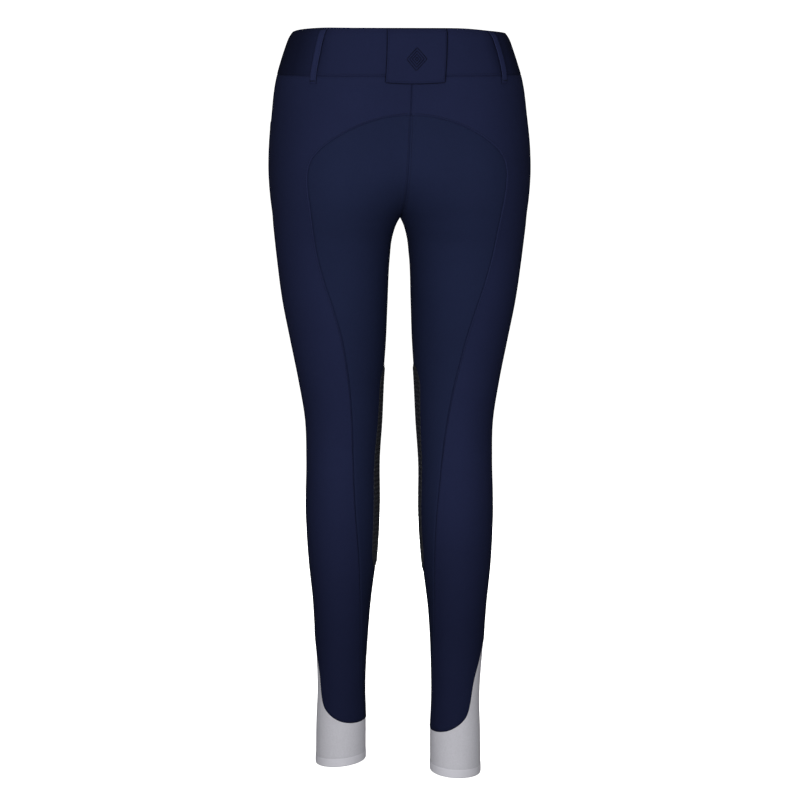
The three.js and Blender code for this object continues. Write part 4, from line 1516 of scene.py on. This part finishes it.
def make_bar_tacks():
    """Dense zigzag bars that hold the loop ends and the pocket and fly corners."""
    lines = []
    for around in (BACK_LOOP_AROUND, FRONT_LOOP_AROUND):
        for _, side in SIDES:
            place = side * around
            for level in (float(waist_top(place)) + 4.0, LOOP_END - 2.6):
                share = (level - float(waist_top(place))) / (LOOP_END - float(waist_top(place)))
                lift = float(bowed(share, LOOP_BOW) + band_roll(place, level)) + LOOP_WALL + 0.1
                for step in np.linspace(-0.42, 0.42, 14):
                    offset = step * LOOP_WIDTH * float(around_per_mm(place, np.array(level)))
                    down = np.array((level - 1.1, level + 1.1))
                    lines.append(waist_line(place + offset, down, lift))
    for side in (1, -1):
        for level in np.linspace(POCKET_END - 4, POCKET_END + 3, 10):
            angle = np.array((SIDE_SEAM - 1.6, SIDE_SEAM + 0.6))
            down = np.full(2, level)
            lines.append((
                cloth_point(angle, down, side, np.full(2, 0.3)),
                face_normal(angle, down, side),
            ))
    for level in np.linspace(FLY_END - 9, FLY_END - 1, 11):
        lines.append(x_line(np.array((0.6, 3.2)), np.full(2, level), FLY_GAP + 1.0, False))
    sew("bar_tacks", lines, 2.2, 2.0, 0.6, "thread")


# Studio

def camera_axes():
    """The camera's place in metres and its right, up and backward axes."""
    turn = CAMERA_TURN + CAMERA_AIM
    place = Vector((math.sin(CAMERA_TURN), math.cos(CAMERA_TURN), 0)) * CAMERA_DISTANCE
    right = Vector((-math.cos(turn), math.sin(turn), 0))
    level = Vector((-math.sin(turn), -math.cos(turn), 0))
    ahead = level * math.cos(CAMERA_PITCH) - Vector((0, 0, math.sin(CAMERA_PITCH)))
    up = right.cross(ahead)
    return place, right, up, -ahead


def make_camera():
    place, right, up, backward = camera_axes()
    data = bpy.data.cameras.new("studio_camera")
    data.lens = CAMERA_LENS
    data.sensor_width = 36
    data.clip_end = 200
    camera = bpy.data.objects.new("studio_camera", data)
    camera.matrix_world = Matrix((
        (right.x, up.x, backward.x, place.x),
        (right.y, up.y, backward.y, place.y),
        (right.z, up.z, backward.z, place.z),
        (0, 0, 0, 1),
    ))
    bpy.context.scene.collection.objects.link(camera)
    bpy.context.scene.camera = camera


def make_softbox(name, place, target, size, power):
    data = bpy.data.lights.new(name, "AREA")
    data.shape = "RECTANGLE"
    data.size = size[0]
    data.size_y = size[1]
    data.energy = power
    lamp = bpy.data.objects.new(name, data)
    lamp.location = place
    direction = Vector(target) - Vector(place)
    lamp.rotation_euler = direction.to_track_quat("-Z", "Y").to_euler()
    lamp.visible_camera = False
    bpy.context.scene.collection.objects.link(lamp)


FLOOR_LEVEL = -1.06


def make_floor():
    reach = 60.0
    points = np.array((
        (-reach, -reach, FLOOR_LEVEL), (reach, -reach, FLOOR_LEVEL),
        (reach, reach, FLOOR_LEVEL), (-reach, reach, FLOOR_LEVEL),
    ))
    floor = mesh_object("studio_floor", points, np.array(((0, 1, 2, 3),)))
    floor.data.materials.append(pale_studio("studio_floor_finish", (1.0, 1.0, 1.0)))
    floor.visible_diffuse = False
    floor.visible_glossy = False


def make_world(ambient):
    world = bpy.data.worlds.new("studio_world")
    world.use_nodes = True
    background = world.node_tree.nodes["Background"]
    background.inputs["Color"].default_value = (1, 1, 1, 1)
    background.inputs["Strength"].default_value = ambient
    bpy.context.scene.world = world


def make_backdrop():
    """A wide pale drum round the studio, behind whatever the camera sees."""
    sides = 48
    radius = 14.0
    points = []
    for height in (FLOOR_LEVEL, 12.0):
        for corner in range(sides):
            turn = 2 * math.pi * corner / sides
            points.append((radius * math.cos(turn), radius * math.sin(turn), height))
    faces = []
    for corner in range(sides):
        after = (corner + 1) % sides
        faces.append((corner, after, after + sides, corner + sides))
    top = tuple(range(sides, 2 * sides))
    mesh = bpy.data.meshes.new("studio_backdrop")
    mesh.from_pydata(points, [], faces + [top])
    backdrop = bpy.data.objects.new("studio_backdrop", mesh)
    bpy.context.scene.collection.objects.link(backdrop)
    backdrop.data.materials.append(pale_studio("studio_backdrop_finish", (1.0, 1.0, 1.0)))
    backdrop.visible_diffuse = False
    backdrop.visible_glossy = False
    backdrop.visible_shadow = False


class BREECHES_OT_legs(bpy.types.Operator):
    """Make the front and back legs and the pocket facings"""

    bl_idname = "breeches.legs"
    bl_label = "Legs and Pockets"

    def execute(self, context):
        make_front_legs()
        make_back_legs()
        make_pocket_facings()
        return {"FINISHED"}


class BREECHES_OT_seat(bpy.types.Operator):
    """Make the full seat and inner legs"""

    bl_idname = "breeches.seat"
    bl_label = "Full Seat"

    def execute(self, context):
        make_seats()
        return {"FINISHED"}


class BREECHES_OT_grips(bpy.types.Operator):
    """Make the knee grips"""

    bl_idname = "breeches.grips"
    bl_label = "Knee Grips"

    def execute(self, context):
        make_knee_grips()
        return {"FINISHED"}


class BREECHES_OT_cuffs(bpy.types.Operator):
    """Make the elastic cuffs"""

    bl_idname = "breeches.cuffs"
    bl_label = "Cuffs"

    def execute(self, context):
        make_cuffs()
        return {"FINISHED"}


class BREECHES_OT_waistband(bpy.types.Operator):
    """Make the waistband, its tab, the fly front and the button"""

    bl_idname = "breeches.waistband"
    bl_label = "Waistband, Fly and Button"

    def execute(self, context):
        make_waistband()
        make_fly()
        make_button()
        return {"FINISHED"}


class BREECHES_OT_loops(bpy.types.Operator):
    """Make the belt loops and the embroidered lozenge"""

    bl_idname = "breeches.loops"
    bl_label = "Belt Loops"

    def execute(self, context):
        make_narrow_loops()
        make_wide_loop()
        make_lozenge()
        return {"FINISHED"}


class BREECHES_OT_stitching(bpy.types.Operator):
    """Sew the topstitching and bar tacks"""

    bl_idname = "breeches.stitching"
    bl_label = "Topstitching"

    def execute(self, context):
        sewing = context.scene.breeches_sewing
        make_band_stitching(sewing)
        make_seat_stitching(sewing)
        make_front_stitching(sewing)
        make_hem_stitching(sewing)
        make_loop_stitching(sewing)
        return {"FINISHED"}


class BREECHES_OT_stage(bpy.types.Operator):
    """Set the camera, the soft lights, the floor and the backdrop"""

    bl_idname = "breeches.stage"
    bl_label = "Studio"

    def execute(self, context):
        make_camera()
        make_floor()
        make_backdrop()
        make_world(0.11)
        place = camera_axes()[0]
        middle = (0, 0, -0.45)
        upper = (0, 0, -0.25)
        near = place * 0.75 + Vector((0.12, 0, -0.1))
        make_softbox("back_softbox", near, upper, (0.9, 0.9), 44)
        make_softbox("front_softbox", (-0.5, -2.6, -0.1), upper, (0.9, 0.9), 40)
        make_softbox("top_softbox", (0, 0.2, 2.6), middle, (1.4, 1.4), 8)
        context.scene.view_settings.view_transform = "Standard"
        return {"FINISHED"}


class BREECHES_PT_sidebar(bpy.types.Panel):
    """Lists the pieces of the breeches"""

    bl_idname = "BREECHES_PT_sidebar"
    bl_label = "Riding Breeches"
    bl_space_type = "VIEW_3D"
    bl_region_type = "UI"
    bl_category = "Breeches"

    def draw(self, context):
        layout = self.layout
        for settings in (context.scene.breeches_cloth, context.scene.breeches_sewing):
            for name in settings.__annotations__:
                layout.prop(settings, name)
        for operator in OPERATORS:
            layout.operator(operator.bl_idname)


OPERATORS = (
    BREECHES_OT_stage,
    BREECHES_OT_legs,
    BREECHES_OT_seat,
    BREECHES_OT_grips,
    BREECHES_OT_cuffs,
    BREECHES_OT_waistband,
    BREECHES_OT_loops,
    BREECHES_OT_stitching,
)
SETTINGS = (ClothSettings, SewingSettings)


def register():
    for cls in SETTINGS + OPERATORS + (BREECHES_PT_sidebar,):
        bpy.utils.register_class(cls)
    bpy.types.Scene.breeches_cloth = PointerProperty(type=ClothSettings)
    bpy.types.Scene.breeches_sewing = PointerProperty(type=SewingSettings)


def unregister():
    del bpy.types.Scene.breeches_sewing
    del bpy.types.Scene.breeches_cloth
    for cls in reversed(SETTINGS + OPERATORS + (BREECHES_PT_sidebar,)):
        bpy.utils.unregister_class(cls)


def main():
    register()
    build_finishes()
    bpy.ops.breeches.stage()
    bpy.ops.breeches.legs()
    bpy.ops.breeches.seat()
    bpy.ops.breeches.grips()
    bpy.ops.breeches.cuffs()
    bpy.ops.breeches.waistband()
    bpy.ops.breeches.loops()
    bpy.ops.breeches.stitching()


if __name__ == "__main__":
    main()
